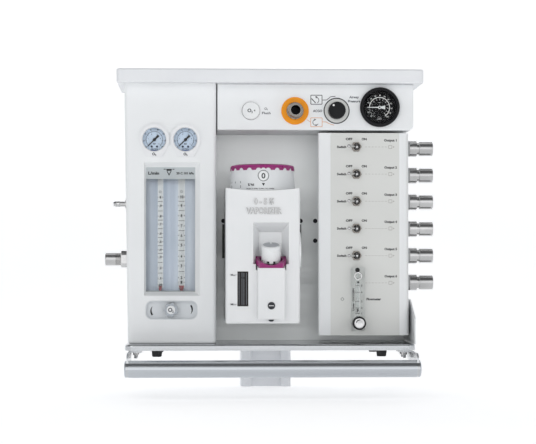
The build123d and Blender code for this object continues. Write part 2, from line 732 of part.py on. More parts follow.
def pocket_face(x, y, z):
    """An upright rectangle at depth y."""
    return make_face(Polyline(*[(px, y, pz) for px, pz in rectangle_points(x, z)], close=True))


def filler_pocket():
    """Cut for the filler: sides and roof slope inwards, with a straight seat for the collar."""
    mouth = pocket_face((-27.2, 26.6), VAPORIZER_FRONT - 1, (196.5, 258.5))
    back = pocket_face((-16.8, 16.4), -224, (196.5, 244))
    seat = block((-22.9, 22.1), (VAPORIZER_FRONT - 1, -226), (188, 209))
    return loft([mouth, back], ruled=True) + seat


def vaporizer_body():
    """White casing: dial well and scooped top, filler recess, sight window pocket."""
    body = block(VAPORIZER_X, (VAPORIZER_FRONT, VAPORIZER_BACK), VAPORIZER_Z)
    body = fillet(body.edges().filter_by(Axis.Z).group_by(Axis.Y)[0], 4)
    body = chamfer(body.edges().group_by(Axis.Z)[0], 2)
    centre = (VAPORIZER_X[0] + VAPORIZER_X[1]) / 2
    body -= rod_y(centre, 305 + 380, VAPORIZER_FRONT - 1, VAPORIZER_BACK + 1, 380)
    body -= rod_z(DIAL_X, DIAL_Y, 304.8, 320, DIAL_R + 0.8)
    body -= rod_z(DIAL_X, DIAL_Y, 290, 306, 10 + FIT)
    body -= filler_pocket()
    body -= block((-50.1, -33.9), (-251, -246.5), (134.3, 185.8))
    body += block((-53, -31), (-251.2, -249), (128, 130))
    body += rod_x(-222, 217, VAPORIZER_X[1] - 1, VAPORIZER_X[1] + 1.8, 27)
    return body


def vaporizer_dial():
    """White concentration dial: a slightly tapered skirt on a central spindle."""
    dial = turned(
        [(0, 292), (10, 292), (10, DIAL_BOTTOM), (DIAL_R - 0.4, DIAL_BOTTOM), (DIAL_R, 306.4), (47.2, 336)]
        + [(47, 343), (0, 343)]
    )
    dial = Pos(DIAL_X, DIAL_Y, 0) * dial
    return dial - rod_y(DIAL_X, 327.4, -250, -234, 7.65)


def dial_cap():
    """Coloured cap on the dial, with finger notches round its lower edge."""
    cap = turned(
        [(47.4, 336), (48.2, 336), (48.2, 341), (47.0, 343.6), (41, 345.2), (20, 346.4), (0, 346.6), (0, 343.05)]
        + [(47.4, 343.05)]
    )
    notches = [0] + [360 * (step + 0.5) / 21 for step in range(21)]
    for angle in notches:
        cap -= Rot(0, 0, angle - 90) * Pos(48, 0, 335.2) * Rot(0, 90, 0) * Cylinder(4.2, 6)
    return Pos(DIAL_X, DIAL_Y, 0) * cap


def zero_button():
    """Round zero-lock button in the front of the dial."""
    button = turned([(0, 0), (7.3, 0), (7.3, 6.6), (6.7, 7.2), (0, 7.2)])
    return facing_front(button, DIAL_X, -237.6, 327.4)


def filler_block():
    """Lower filler housing, proud of the casing, with a tilted top for the collar."""
    x = (-20.7, 20.0)
    body = block(x, (-262, VAPORIZER_FRONT), (115.7, 200))
    body = fillet(body.edges().filter_by(Axis.Z).group_by(Axis.Y)[0], 2)
    body += block(x, (VAPORIZER_FRONT - 1, -226), (188, 215))
    above = filler_place() * Pos(0, 0, 50 - COLLAR_THICKNESS) * Box(120, 120, 100)
    body -= above
    body -= filler_place() * rod_z(0, 0, -13, 5, 8 + FIT)
    body -= rod_y(FILLER_X, DRAIN_Z, -264, -252, 3 + FIT)
    return body


def filler_collar():
    """Coloured key collar round the filler neck, with its front lip scooped out."""
    half = 17.0
    outline = [(-half, -20.5), (half, -20.5), (22.2, -4), (22.2, 14), (-22.2, 14), (-22.2, -4)]
    plate = extrude(make_face(Polyline(*outline, close=True)), amount=-COLLAR_THICKNESS)
    plate -= rod_z(0, 0, -4.5, 1, 17.6)
    plate -= rod_y(0, 21, -30, 0, 24.7)
    plate -= rod_z(0, 0, -COLLAR_THICKNESS - 1, 1, 8 + FIT)
    return filler_place() * plate


def filler_cap():
    """Screw cap of the filler, with a notch in its top, a notched skirt and a threaded stem."""
    cap = turned(
        [(0, -12), (8, -12), (8, -4.2), (13.2, -4.2), (CAP_R, -3), (CAP_R, 20.6), (CAP_R - 1.4, 22), (0, 22)]
    )
    cap -= Pos(0, CAP_R / 2 + 3, 21.4) * Box(2.4, CAP_R, 2.4)
    for angle in range(0, 360, 45):
        cap -= Rot(0, 0, angle + 22.5) * Pos(CAP_R, 0, -2.2) * Box(6, 5.5, 5)
    return filler_place() * cap


def sight_glass():
    """Level window of the sump."""
    return block((-50, -34), (-249.2, -246.5), (134.4, 185.7))


def drain_screw():
    """Drain screw with a driver slot, low on the filler housing."""
    screw = turned([(0, -9), (3, -9), (3, 0), (5.5, 0), (5.5, 0.9), (5.0, 1.4), (0, 1.4)])
    screw -= Pos(0, 0, 1.2) * Box(12, 1.5, 1.2)
    return facing_front(screw, FILLER_X, -262, DRAIN_Z)


def all_parts():
    """Every node of the machine and the shape that it holds."""
    parts = {
        "column": column(),
        "column_cap": column_cap(),
        "column_bracket": column_bracket(),
        "base_plate": base_plate(),
        "rubber_feet": rubber_feet(),
        "handle_brackets": handle_brackets(),
        "bracket_bolts": bracket_bolts(),
        "handle_tube": handle_tube(),
        "handle_end_caps": handle_end_caps(),
        "back_panel": back_panel(),
        "rear_housing": rear_housing(),
        "top_tray": top_tray(),
        "side_cheek": side_cheek(),
        "left_cabinet": left_cabinet(),
        "gauge_bezels": gauge_bezels(),
        "gauge_cases": gauge_cases(),
        "gauge_lenses": gauge_lenses(),
        "supply_needle_left": supply_needle(GAUGE_XS[0]),
        "supply_needle_right": supply_needle(GAUGE_XS[1]),
        "flow_window": flow_window(),
        "flow_backplate": flow_backplate(),
        "flow_blocks": flow_blocks(),
        "flow_tubes": flow_tubes(),
        "flow_float_low": flow_float(LOW_TUBE),
        "flow_float_high": flow_float(HIGH_TUBE),
        "knob_recess": knob_recess(),
        "needle_valve_body": needle_valve_body(),
        "oxygen_flow_knob": oxygen_flow_knob(),
        "hose_barb": hose_barb(),
        "inlet_connector": inlet_connector(),
        "upper_box": upper_box(),
        "flush_button": flush_button(),
        "flush_valve_body": flush_valve_body(),
        "flush_spring": flush_spring(),
        "outlet_ring": outlet_ring(),
        "gas_outlet": gas_outlet(),
        "selector_knob": selector_knob(),
        "airway_gauge_case": airway_gauge_case(),
        "airway_needle": airway_needle(),
        "right_box": right_box(),
        "toggle_valves": toggle_valves(),
        "flowmeter_block": flowmeter_block(),
        "flowmeter_ball": flowmeter_ball(),
        "flowmeter_knob": flowmeter_knob(),
        "output_connectors": output_connectors(),
        "vaporizer_mount": vaporizer_mount(),
        "vaporizer_body": vaporizer_body(),
        "vaporizer_dial": vaporizer_dial(),
        "dial_cap": dial_cap(),
        "zero_button": zero_button(),
        "filler_block": filler_block(),
        "filler_collar": filler_collar(),
        "filler_cap": filler_cap(),
        "sight_glass": sight_glass(),
        "drain_screw": drain_screw(),
    }
    for number, z in enumerate(switch_rows(), start=1):
        parts[f"toggle_lever_{number}"] = toggle_lever(z)
    return parts


def main():
    """Writes one STEP file for each node."""
    os.makedirs("parts", exist_ok=True)
    for name, shape in all_parts().items():
        export_step(shape, os.path.join("parts", name + ".step"))


main()
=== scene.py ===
"""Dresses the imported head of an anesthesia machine: finishes, dials, lettering, fittings, light and camera.

Pieces are built in mm on a local plane, x to the right, y up and z out of the surface, and placed in the
frame, which is in metres.
"""

import json
import math

import bmesh
import bpy
from mathutils import Matrix, Vector


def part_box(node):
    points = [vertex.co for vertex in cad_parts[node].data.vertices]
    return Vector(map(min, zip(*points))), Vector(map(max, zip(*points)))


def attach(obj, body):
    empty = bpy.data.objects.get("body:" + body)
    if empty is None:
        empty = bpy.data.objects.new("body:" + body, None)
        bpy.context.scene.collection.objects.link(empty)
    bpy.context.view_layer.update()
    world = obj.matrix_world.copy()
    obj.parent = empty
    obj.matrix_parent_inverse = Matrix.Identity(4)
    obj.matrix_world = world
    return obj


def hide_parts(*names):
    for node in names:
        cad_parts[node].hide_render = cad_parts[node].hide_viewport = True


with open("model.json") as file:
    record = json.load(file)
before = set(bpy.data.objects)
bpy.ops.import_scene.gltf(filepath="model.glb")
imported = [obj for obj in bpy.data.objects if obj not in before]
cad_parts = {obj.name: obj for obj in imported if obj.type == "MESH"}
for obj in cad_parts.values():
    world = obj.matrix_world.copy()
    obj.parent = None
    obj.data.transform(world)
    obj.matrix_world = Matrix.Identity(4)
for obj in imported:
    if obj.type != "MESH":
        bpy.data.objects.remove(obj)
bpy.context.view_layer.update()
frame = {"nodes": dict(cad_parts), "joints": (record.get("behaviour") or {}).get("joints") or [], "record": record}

MM = 0.001
PRINT = 0.1  # thickness of printed marks
CAPITALS = 0.72  # height of a capital in the built-in font, for a size of 1
WELD = 0.0005  # points closer than this are joined in lettering and plates
RING_STEP = 7.5  # degrees between the sections of a printed ring
HEAD = "head"

JOINTS = {joint["name"]: Vector(joint["pos_m"]) for joint in frame["joints"] if joint.get("pos_m")}
MOUNTS = {mount["name"]: Vector(mount["pos_m"]) for mount in frame["record"]["mounts"]}


# ---------------------------------------------------------------- places and shapes


def facing_front(x, y, z):
    """A plane that faces -Y."""
    return Matrix(((MM, 0, 0, x), (0, 0, -MM, y), (0, MM, 0, z), (0, 0, 0, 1)))


def facing_back(x, y, z):
    """A plane that faces +Y."""
    return Matrix(((-MM, 0, 0, x), (0, 0, MM, y), (0, MM, 0, z), (0, 0, 0, 1)))


def facing_left(x, y, z):
    """A plane that faces -X."""
    return Matrix(((0, 0, -MM, x), (-MM, 0, 0, y), (0, MM, 0, z), (0, 0, 0, 1)))


def facing_right(x, y, z):
    """A plane that faces +X."""
    return Matrix(((0, 0, MM, x), (MM, 0, 0, y), (0, MM, 0, z), (0, 0, 0, 1)))


def facing_up(x, y, z):
    """A plane that faces +Z."""
    return Matrix(((MM, 0, 0, x), (0, MM, 0, y), (0, 0, MM, z), (0, 0, 0, 1)))


def around(radius, angle):
    """A point on a circle, from an angle in degrees."""
    return radius * math.cos(math.radians(angle)), radius * math.sin(math.radians(angle))


def rounded(x, y, corner, steps=6):
    """Outline of a rectangle with round corners, from its x and y limits."""
    points = []
    for centre_x, centre_y, start in (
        (x[1] - corner, y[1] - corner, 0),
        (x[0] + corner, y[1] - corner, 90),
        (x[0] + corner, y[0] + corner, 180),
        (x[1] - corner, y[0] + corner, 270),
    ):
        for step in range(steps + 1):
            dx, dy = around(corner, start + 90 * step / steps)
            points.append((centre_x + dx, centre_y + dy))
    return points


def circle(x, y, radius, steps=32):
    """Outline of a circle."""
    spokes = [around(radius, 360 * step / steps) for step in range(steps)]
    return [(x + dx, y + dy) for dx, dy in spokes]


def middle(node):
    """The middle of a node's box."""
    low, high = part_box(node)
    return (low + high) / 2


def front_of(node):
    """A plane that faces -Y, on the middle of the front of a node's box."""
    centre = middle(node)
    return facing_front(centre.x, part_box(node)[0].y, centre.z)


class Shape:
    """A piece under construction, made of closed solids."""

    def __init__(self, place):
        self.place = place
        self.mesh = bmesh.new()

    def loft(self, rings, closed=False):
        """Skins rings of equal length. The ends are capped, unless the last ring joins the first."""
        rows = [[self.mesh.verts.new(point) for point in ring] for ring in rings]
        following_rows = rows[1:] + rows[:1] if closed else rows[1:]
        for first, second in zip(rows, following_rows):
            for index in range(len(first)):
                after = (index + 1) % len(first)
                self.mesh.faces.new((first[index], first[after], second[after], second[index]))
        if not closed:
            self.mesh.faces.new(rows[0][::-1])
            self.mesh.faces.new(rows[-1])

    def prism(self, outline, low=0.0, high=PRINT):
        """A flat shape of even thickness."""
        self.loft([[(x, y, height) for x, y in outline] for height in (low, high)])

    def bar(self, start, end, width, low=0.0, high=PRINT):
        """A straight stroke."""
        along = (Vector(end) - Vector(start)).normalized() * width / 2
        side = Vector((-along.y, along.x))
        corners = (Vector(start) - side, Vector(end) - side, Vector(end) + side, Vector(start) + side)
        self.prism([tuple(corner) for corner in corners], low, high)

    def ring(self, radius, width, sweep=(0, 360), centre=(0, 0), low=0.0, high=PRINT):
        """A circular stroke, whole or from one angle to another."""
        whole = sweep[1] - sweep[0] >= 360
        steps = max(4, round((sweep[1] - sweep[0]) / RING_STEP))
        sections = []
        for step in range(steps if whole else steps + 1):
            angle = sweep[0] + (sweep[1] - sweep[0]) * step / steps
            inner = around(radius - width / 2, angle)
            outer = around(radius + width / 2, angle)
            corners = ((inner, low), (outer, low), (outer, high), (inner, high))
            sections.append([(centre[0] + x, centre[1] + y, height) for (x, y), height in corners])
        self.loft(sections, closed=whole)

    def turned(self, profile, centre=(0, 0), steps=32):
        """A solid of revolution with flat ends, from (radius, height) points."""
        rings = []
        for radius, height in profile:
            rings.append([(x, y, height) for x, y in circle(*centre, radius, steps)])
        self.loft(rings)

    def band(self, profile, centre=(0, 0), steps=48):
        """A ring of revolution, from a closed section of (radius, height) points."""
        sections = []
        for step in range(steps):
            out_x, out_y = around(1, 360 * step / steps)
            section = [(centre[0] + r * out_x, centre[1] + r * out_y, height) for r, height in profile]
            sections.append(section)
        self.loft(sections, closed=True)

    def ticks(self, angles, inner, outer, width):
        """Radial strokes of a dial."""
        for angle in angles:
            self.bar(around(inner, angle), around(outer, angle), width)

    def curve(self, curve, place):
        """Adds a curve or text datablock as closed solids."""
        holder = bpy.data.objects.new("curve", curve)
        bpy.context.scene.collection.objects.link(holder)
        evaluated = holder.evaluated_get(bpy.context.evaluated_depsgraph_get())
        mesh = bpy.data.meshes.new_from_object(evaluated)
        bpy.data.objects.remove(holder)
        added = bmesh.new()
        added.from_mesh(mesh)
        bmesh.ops.remove_doubles(added, verts=added.verts, dist=WELD)
        bmesh.ops.transform(added, matrix=place, verts=added.verts)
        added.to_mesh(mesh)
        added.free()
        self.mesh.from_mesh(mesh)
        bpy.data.meshes.remove(mesh)
        bpy.data.curves.remove(curve)

    def plate(self, outline, holes, low=0.0, high=PRINT):
        """A flat plate with holes through it."""
        curve = bpy.data.curves.new("plate", "CURVE")
        curve.dimensions = "2D"
        curve.fill_mode = "BOTH"
        curve.extrude = (high - low) / 2
        for points in [outline] + list(holes):
            spline = curve.splines.new("POLY")
            spline.points.add(len(points) - 1)
            for point, (x, y) in zip(spline.points, points):
                point.co = (x, y, 0, 1)
            spline.use_cyclic_u = True
        self.curve(curve, Matrix.Translation((0, 0, (low + high) / 2)))

    def text(self, words, x, y, height, width=None, turn=0, depth=PRINT, weight=0.035):
        """Lettering centred on a point: capitals of the height given, fitted to a width if there is one."""
        curve = bpy.data.curves.new("text", "FONT")
        curve.body = words
        curve.size = height / CAPITALS
        curve.align_x = "CENTER"
        curve.resolution_u = 3
        curve.extrude = depth / 2
        curve.offset = weight * height
        squeeze = 1.0
        if width:
            holder = bpy.data.objects.new("text", curve)
            bpy.context.scene.collection.objects.link(holder)
            bpy.context.view_layer.update()
            squeeze = width / holder.dimensions.x
            bpy.data.objects.remove(holder)
        place = Matrix.Translation((x, y, depth / 2)) @ Matrix.Rotation(math.radians(turn), 4, "Z")
        place = place @ Matrix.Diagonal((squeeze, 1, 1, 1)) @ Matrix.Translation((0, -height / 2, 0))
        self.curve(curve, place)

    def wrap(self, bottom, top, height):
        """Bends what was built round a vertical cone, with radius bottom at y = 0 and top at y = height."""
        for vertex in self.mesh.verts:
            x, y, z = vertex.co
            radius = bottom + (top - bottom) * y / height
            angle = x / radius
            vertex.co = ((radius + z) * math.sin(angle), y, (radius + z) * math.cos(angle))

    def piece(self, name, finish, body=HEAD, smooth=35):
        """Makes the object, with its finish, and puts it on its body."""
        bmesh.ops.recalc_face_normals(self.mesh, faces=self.mesh.faces)
        bmesh.ops.transform(self.mesh, matrix=self.place, verts=self.mesh.verts)
        mesh = bpy.data.meshes.new(name)
        self.mesh.to_mesh(mesh)
        self.mesh.free()
        mesh.polygons.foreach_set("use_smooth", [True] * len(mesh.polygons))
        mesh.set_sharp_from_angle(angle=math.radians(smooth))
        mesh.materials.append(FINISHES[finish])
        made = bpy.data.objects.new(name, mesh)
        bpy.context.scene.collection.objects.link(made)
        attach(made, body)
        return made


# ---------------------------------------------------------------- finishes


MIX_COLOURS, MIX_RESULT = (6, 7), 2  # the Mix node's colour sockets, which share their names with others
# Along the edges a band of another colour: wear, and on the dark mount a painted highlight.
EDGE_BAND = 0.9  # width of the wear along edges
FINISHES = {}


def rgb(code):
    """Linear colour from an sRGB hex code."""
    channels = [int(code[index : index + 2], 16) / 255 for index in (0, 2, 4)]
    linear = [c / 12.92 if c <= 0.04045 else ((c + 0.055) / 1.055) ** 2.4 for c in channels]
    return (*linear, 1.0)


class Finish:
    """A procedural material: a Principled shader fed by noise in the piece's own coordinates.

    Constants go straight to the shader's sockets: coat_weight sets "Coat Weight", and so on.
    """

    def __init__(self, name, **constants):
        self.material = bpy.data.materials.new(name)
        self.material.use_nodes = True
        self.nodes = self.material.node_tree.nodes
        self.shader = self.nodes["Principled BSDF"]
        for constant, value in constants.items():
            socket = constant.replace("_", " ").title().replace("Ior", "IOR")
            self.shader.inputs[socket].default_value = value
        self.place = self.nodes.new("ShaderNodeTexCoord").outputs["Object"]

    def link(self, output, socket):
        """Joins two sockets."""
        self.material.node_tree.links.new(output, socket)

    def feed(self, output, socket):
        """Joins a socket to one of the shader's, by name."""
        self.link(output, self.shader.inputs[socket])

    def noise(self, scale, detail=2.0, stretch=(1, 1, 1)):
        """Noise with features 1/scale metres wide, drawn out along an axis by a small stretch."""
        mapping = self.nodes.new("ShaderNodeMapping")
        mapping.inputs["Scale"].default_value = stretch
        self.link(self.place, mapping.inputs["Vector"])
        texture = self.nodes.new("ShaderNodeTexNoise")
        texture.inputs["Scale"].default_value = scale
        texture.inputs["Detail"].default_value = detail
        self.link(mapping.outputs["Vector"], texture.inputs["Vector"])
        return texture.outputs["Fac"]

    def span(self, value, low, high, start=0.3, stop=0.7):
        """Spreads a value between two limits."""
        spread = self.nodes.new("ShaderNodeMapRange")
        for socket, number in zip(("From Min", "From Max", "To Min", "To Max"), (start, stop, low, high)):
            spread.inputs[socket].default_value = number
        self.link(value, spread.inputs["Value"])
        return spread.outputs["Result"]

    def mix(self, factor, first, second):
        """Blends two colours, each a hex code or another node's output."""
        blend = self.nodes.new("ShaderNodeMix")
        blend.data_type = "RGBA"
        self.link(factor, blend.inputs["Factor"])
        for socket, colour in zip([blend.inputs[index] for index in MIX_COLOURS], (first, second)):
            if isinstance(colour, str):
                socket.default_value = rgb(colour)
            else:
                self.link(colour, socket)
        return blend.outputs[MIX_RESULT]

    def edges(self, radius):
        """1 along the edges of the shape, 0 on its faces."""
        bevel = self.nodes.new("ShaderNodeBevel")
        bevel.samples = 4
        bevel.inputs["Radius"].default_value = radius * MM
        geometry = self.nodes.new("ShaderNodeNewGeometry")
        likeness = self.nodes.new("ShaderNodeVectorMath")
        likeness.operation = "DOT_PRODUCT"
        self.link(bevel.outputs["Normal"], likeness.inputs[0])
        self.link(geometry.outputs["Normal"], likeness.inputs[1])
        return self.span(likeness.outputs["Value"], 1.0, 0.0, 0.75, 0.99)

    def relief(self, height, depth):
        """Bump from a height, depth in mm."""
        bump = self.nodes.new("ShaderNodeBump")
        bump.inputs["Distance"].default_value = depth * MM
        self.link(height, bump.inputs["Height"])
        self.feed(bump.outputs["Normal"], "Normal")


def surface(name, light, dark, rough, grain, depth, patch=16, stretch=(1, 1, 1), edge_wear_and_highlight=None, **constants):
    """Adds a finish: patches of two near colours, grain in colour and relief, uneven gloss, worn edges. On the
    flow backplate the patches are painted reflection, and on the dark mount the edge colour is a painted
    highlight.
    """
    finish = Finish(name, **constants)
    patches = finish.noise(patch, 4, stretch)
    fine = finish.noise(grain, 2, stretch)
    colour = finish.mix(finish.span(patches, 0, 1), light, dark)
    colour = finish.mix(finish.span(fine, 0, 0.5, 0.45, 0.8), colour, dark)
    if edge_wear_and_highlight:
        colour = finish.mix(finish.edges(EDGE_BAND), colour, edge_wear_and_highlight)
    finish.feed(colour, "Base Color")
    finish.feed(finish.span(finish.noise(patch * 5, 3, stretch), *rough), "Roughness")
    finish.relief(fine, depth)
    FINISHES[name] = finish.material


def glass(name, light, dark, ior):
    """Adds clear glass or acrylic with faint smears, which lets lamps through to what is behind it."""
    finish = Finish(name, transmission_weight=1.0, ior=ior)
    smears = finish.noise(60, 4, (1, 1, 0.4))
    finish.feed(finish.mix(finish.span(smears, 0, 1), light, dark), "Base Color")
    finish.feed(finish.span(finish.noise(140, 3), 0.0, 0.006), "Roughness")
    clear = finish.nodes.new("ShaderNodeBsdfTransparent")
    clear.inputs["Color"].default_value = rgb(light)
    choose = finish.nodes.new("ShaderNodeMixShader")
    finish.link(finish.nodes.new("ShaderNodeLightPath").outputs["Is Shadow Ray"], choose.inputs["Fac"])
    finish.link(finish.shader.outputs["BSDF"], choose.inputs[1])
    finish.link(clear.outputs["BSDF"], choose.inputs[2])
    finish.link(choose.outputs["Shader"], finish.nodes["Material Output"].inputs["Surface"])
    FINISHES[name] = finish.material


ALONG_X = (0.03, 1, 1)  # brushed or drawn out along an axis
ALONG_Z = (1, 1, 0.03)

# painted sheet and castings
surface("housing_white", "ebedee", "e7e9ea", (0.34, 0.46), 1100, 0.018, edge_wear_and_highlight="f3f2ee")
surface("tray_white", "e9ebed", "e4e6e9", (0.38, 0.5), 1500, 0.03, edge_wear_and_highlight="f2f2f0")
surface("column_white", "e8eaed", "e0e2e6", (0.3, 0.42), 1100, 0.014, edge_wear_and_highlight="f2f2f0")
surface("vaporizer_white", "eaebec", "e6e8e9", (0.28, 0.38), 900, 0.008, edge_wear_and_highlight="f1f1ee", coat_weight=0.15)
surface("dial_white", "e6e8e9", "dcdfe1", (0.3, 0.4), 1400, 0.012, edge_wear_and_highlight="f0f0ee")
surface("overlay_grey", "dbdcd9", "d7d8d5", (0.42, 0.55), 2200, 0.008)
# moulded plastics
surface("bezel_white", "ecedee", "e2e3e6", (0.25, 0.38), 1600, 0.01)
surface("knob_white", "eef0f0", "e3e5e6", (0.22, 0.34), 1500, 0.01, coat_weight=0.2)
surface("flow_knob", "c6ccd2", "aeb5bc", (0.2, 0.32), 1300, 0.01, coat_weight=0.3)
surface("insert_shadow", "b9bdc1", "adb1b6", (0.35, 0.5), 1500, 0.01)
surface("insert_grey", "dcdfe2", "d3d7da", (0.32, 0.44), 1500, 0.012)
surface("agent_purple", "9a1d72", "84145f", (0.24, 0.38), 1300, 0.02, edge_wear_and_highlight="ab3a86")
surface(
    "ring_orange", "f59c08", "ee9205", (0.36, 0.48), 1400, 0.012, edge_wear_and_highlight="f59d1c", specular_ior_level=0.3
)
surface("knob_black", "121316", "0b0c0e", (0.36, 0.5), 1300, 0.02, edge_wear_and_highlight="25262a", specular_ior_level=0.2)
surface("gauge_black", "151518", "0e0e11", (0.4, 0.54), 1200, 0.02, edge_wear_and_highlight="26262a", specular_ior_level=0.2)
surface(
    "meter_knob", "151618", "0d0e10", (0.3, 0.45), 1300, 0.015, edge_wear_and_highlight="2a2b2e", specular_ior_level=0.25
)
surface("foot_rubber", "232427", "191a1c", (0.6, 0.8), 1800, 0.03, edge_wear_and_highlight="34353a")
# The mount's pale edge colour is a painted highlight along its edges.
surface("mount_dark", "5b5e5b", "4b4e4c", (0.4, 0.55), 1200, 0.02, edge_wear_and_highlight="8c8f8c")
surface("screw_dark", "3a3c40", "2a2b2f", (0.28, 0.42), 900, 0.015, edge_wear_and_highlight="77787c", metallic=0.7)
surface("float_red", "a3202d", "7d1420", (0.25, 0.38), 1500, 0.01, edge_wear_and_highlight="c04a55")
surface("ball_black", "1a1b1d", "101112", (0.12, 0.2), 1500, 0.006)
surface("sight_dark", "302d2d", "1d1b1d", (0.3, 0.42), 700, 0.006, 30, ALONG_Z, specular_ior_level=0.15)
surface("sight_line", "878c93", "6e737a", (0.3, 0.45), 1500, 0.004)
surface("needle_black", "16181d", "0e0f13", (0.35, 0.5), 1500, 0.006)
surface("needle_white", "eceded", "dcdddd", (0.35, 0.5), 1500, 0.006)
surface("cap_grey", "8f9296", "7e8185", (0.5, 0.62), 1600, 0.02)
# metals
surface(
    "polished_steel", "c9cbcd", "b7babd", (0.14, 0.26), 700, 0.006, 20, ALONG_X, "e2e3e4", metallic=1.0
)
surface("tube_steel", "c6cace", "b8bcc1", (0.18, 0.28), 500, 0.008, 20, ALONG_X, metallic=1.0)
surface("satin_steel", "f8faf9", "f2f5f4", (0.36, 0.48), 800, 0.01, 10, ALONG_X, metallic=0.4)
surface("fitting_chrome", "c6c6c6", "b2b2b2", (0.12, 0.22), 900, 0.008, edge_wear_and_highlight="dddcda", metallic=1.0)
surface("outlet_chrome", "8f8b86", "74706b", (0.22, 0.36), 900, 0.008, edge_wear_and_highlight="c9c7c4", metallic=1.0)
surface("gauge_body", "b9bcc0", "a8abb0", (0.3, 0.42), 900, 0.01, metallic=0.8)
# The flow backplate's blue-grey streaks, which run up and down it, are painted reflection.
surface("backplate", "cfd6e0", "aab4c4", (0.3, 0.42), 300, 0.006, 60, ALONG_Z, metallic=0.1)
surface("block_metal", "b4b7ba", "a2a5a8", (0.3, 0.45), 700, 0.012, 20, ALONG_X, metallic=1.0)
surface("brass_valve", "c9ad6c", "b29556", (0.24, 0.38), 900, 0.01, metallic=1.0)
surface("spring_steel", "a6a8aa", "8f9193", (0.2, 0.35), 900, 0.01, metallic=1.0)
surface("valve_metal", "8f8a84", "7a756f", (0.2, 0.34), 900, 0.01, edge_wear_and_highlight="b5b0a8", metallic=1.0)
surface("lever_metal", "cfcfcf", "b9b9ba", (0.1, 0.2), 900, 0.005, metallic=1.0)
# inks
surface("ink_black", "1d1f23", "16181b", (0.5, 0.65), 2500, 0.004)
surface("ink_grey", "5f6266", "54575b", (0.5, 0.65), 2500, 0.004)
surface("ink_pale", "a9a5a0", "9c9893", (0.5, 0.65), 2500, 0.004)
# Grey rim of painted shade round the raised lettering.
surface("painted_edge_shade", "c3c3c3", "b8b8b9", (0.4, 0.55), 2500, 0.004)
surface("ink_blue", "1c2848", "16203c", (0.5, 0.65), 2500, 0.004)
surface("ink_band", "5f77ab", "4d659a", (0.45, 0.6), 2500, 0.004)
surface("ink_white", "f0f0ee", "e2e2e0", (0.5, 0.65), 2500, 0.004)
surface("strip_white", "fbfcfc", "f3f5f6", (0.4, 0.55), 1500, 0.004)
surface("ink_orange", "dd8f45", "d2853c", (0.5, 0.65), 2500, 0.004)
# papers and panes
surface("dial_blue", "d3e0f1", "c6d6ea", (0.4, 0.55), 1800, 0.004, 45)
surface("dial_black", "0d0d10", "08080a", (0.5, 0.65), 1800, 0.006, specular_ior_level=0.15)
surface("header_grey", "bcc2c4", "b1b8bb", (0.4, 0.52), 1800, 0.006)
glass("clear", "fbfdfd", "f2f6f6", ior=1.47)
surface("tube_clear", "f3f5f6", "e6eaed", (0.08, 0.18), 900, 0.004, 60, ALONG_Z, alpha=0.06)
glass("lens", "fdfefe", "f6f8f8", ior=1.12)
# Dark colour for painted shade in the gas outlet's bore, behind the back panel's holes and in the filler's
# hollows.
surface("painted_shade_dark", "2a2b2e", "1e1f22", (0.5, 0.65), 900, 0.01)

# nodes whose look differs from the rest of their slot
NODE_FINISHES = {
    "gauge_lenses": "lens",
    "flow_window": "lens",
    "flow_tubes": "tube_clear",
    "gas_outlet": "outlet_chrome",
}


def dress_cad_nodes():
    """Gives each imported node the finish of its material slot."""
    for part in frame["record"]["subparts"]:
        node = frame["nodes"][part["node"]]
        if not node.material_slots:
            node.data.materials.append(None)
        finish = NODE_FINISHES.get(part["node"], part["material_slot"])
        for slot in node.material_slots:
            slot.link = "OBJECT"
            slot.material = FINISHES[finish]


# ---------------------------------------------------------------- supply gauges

DIAL_SWEEP = (223, -42)  # angle of the first and last mark of a supply dial
NEEDLE_GAP = 0.3  # from a needle's back to its dial card
GAS_DROP = 22  # from a dial's centre to the gas named under it


def dial_angles(count):
    """Even angles over a supply dial's sweep."""
    first, last = DIAL_SWEEP
    return [first + (last - first) * step / (count - 1) for step in range(count)]


def supply_dial(side):
    """Dial card of a supply gauge, with two pressure scales."""
    joint = JOINTS[f"supply_gauge_{side}"]
    needle_low, needle_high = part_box(f"supply_needle_{side}")
    place = facing_front(joint.x, needle_high.y + NEEDLE_GAP * MM, joint.z)
    card = Shape(place)
    card.band([(1.4, -0.5), (18.2, -0.5), (18.2, 0), (1.4, 0)], steps=64)
    card.piece(f"supply_dial_{side}", "dial_blue")
    marks = Shape(place)
    marks.ring(12.5, 0.45, (DIAL_SWEEP[1], DIAL_SWEEP[0]))
    marks.ticks(dial_angles(8), 11.2, 13.4, 0.5)
    marks.ticks(dial_angles(36), 11.8, 12.6, 0.25)
    for number, angle in enumerate(dial_angles(8)):
        marks.text(str(2 * number), *around(15.9, angle), 2.3)
    for number, angle in enumerate(dial_angles(6)):
        marks.text(str(number), *around(9.2, angle), 1.7)
    marks.text("bar", 0, -6, 2.2, weight=0.06)
    marks.text("OXYGEN", 0, -14.1, 1.9, 10)
    for x in (-3.9, 3.9):
        marks.turned([(1.6, 0), (1.6, 0.2), (1.2, 0.5)], (x, -10.4), 20)
    marks.piece(f"supply_marks_{side}", "ink_blue")
    band = Shape(place)
    band.prism([around(17.8, angle) for angle in range(-120, -59, 5)], 0, 0.06)
    band.piece(f"supply_band_{side}", "ink_band")
    pin = Shape(facing_front(joint.x, needle_low.y, joint.z))
    pin.turned([(1.5, -0.2), (1.5, 0.3), (1.1, 0.7), (0.5, 0.85)], steps=20)
    pin.piece(f"needle_pin_{side}", "needle_black", f"supply_needle_{side}")


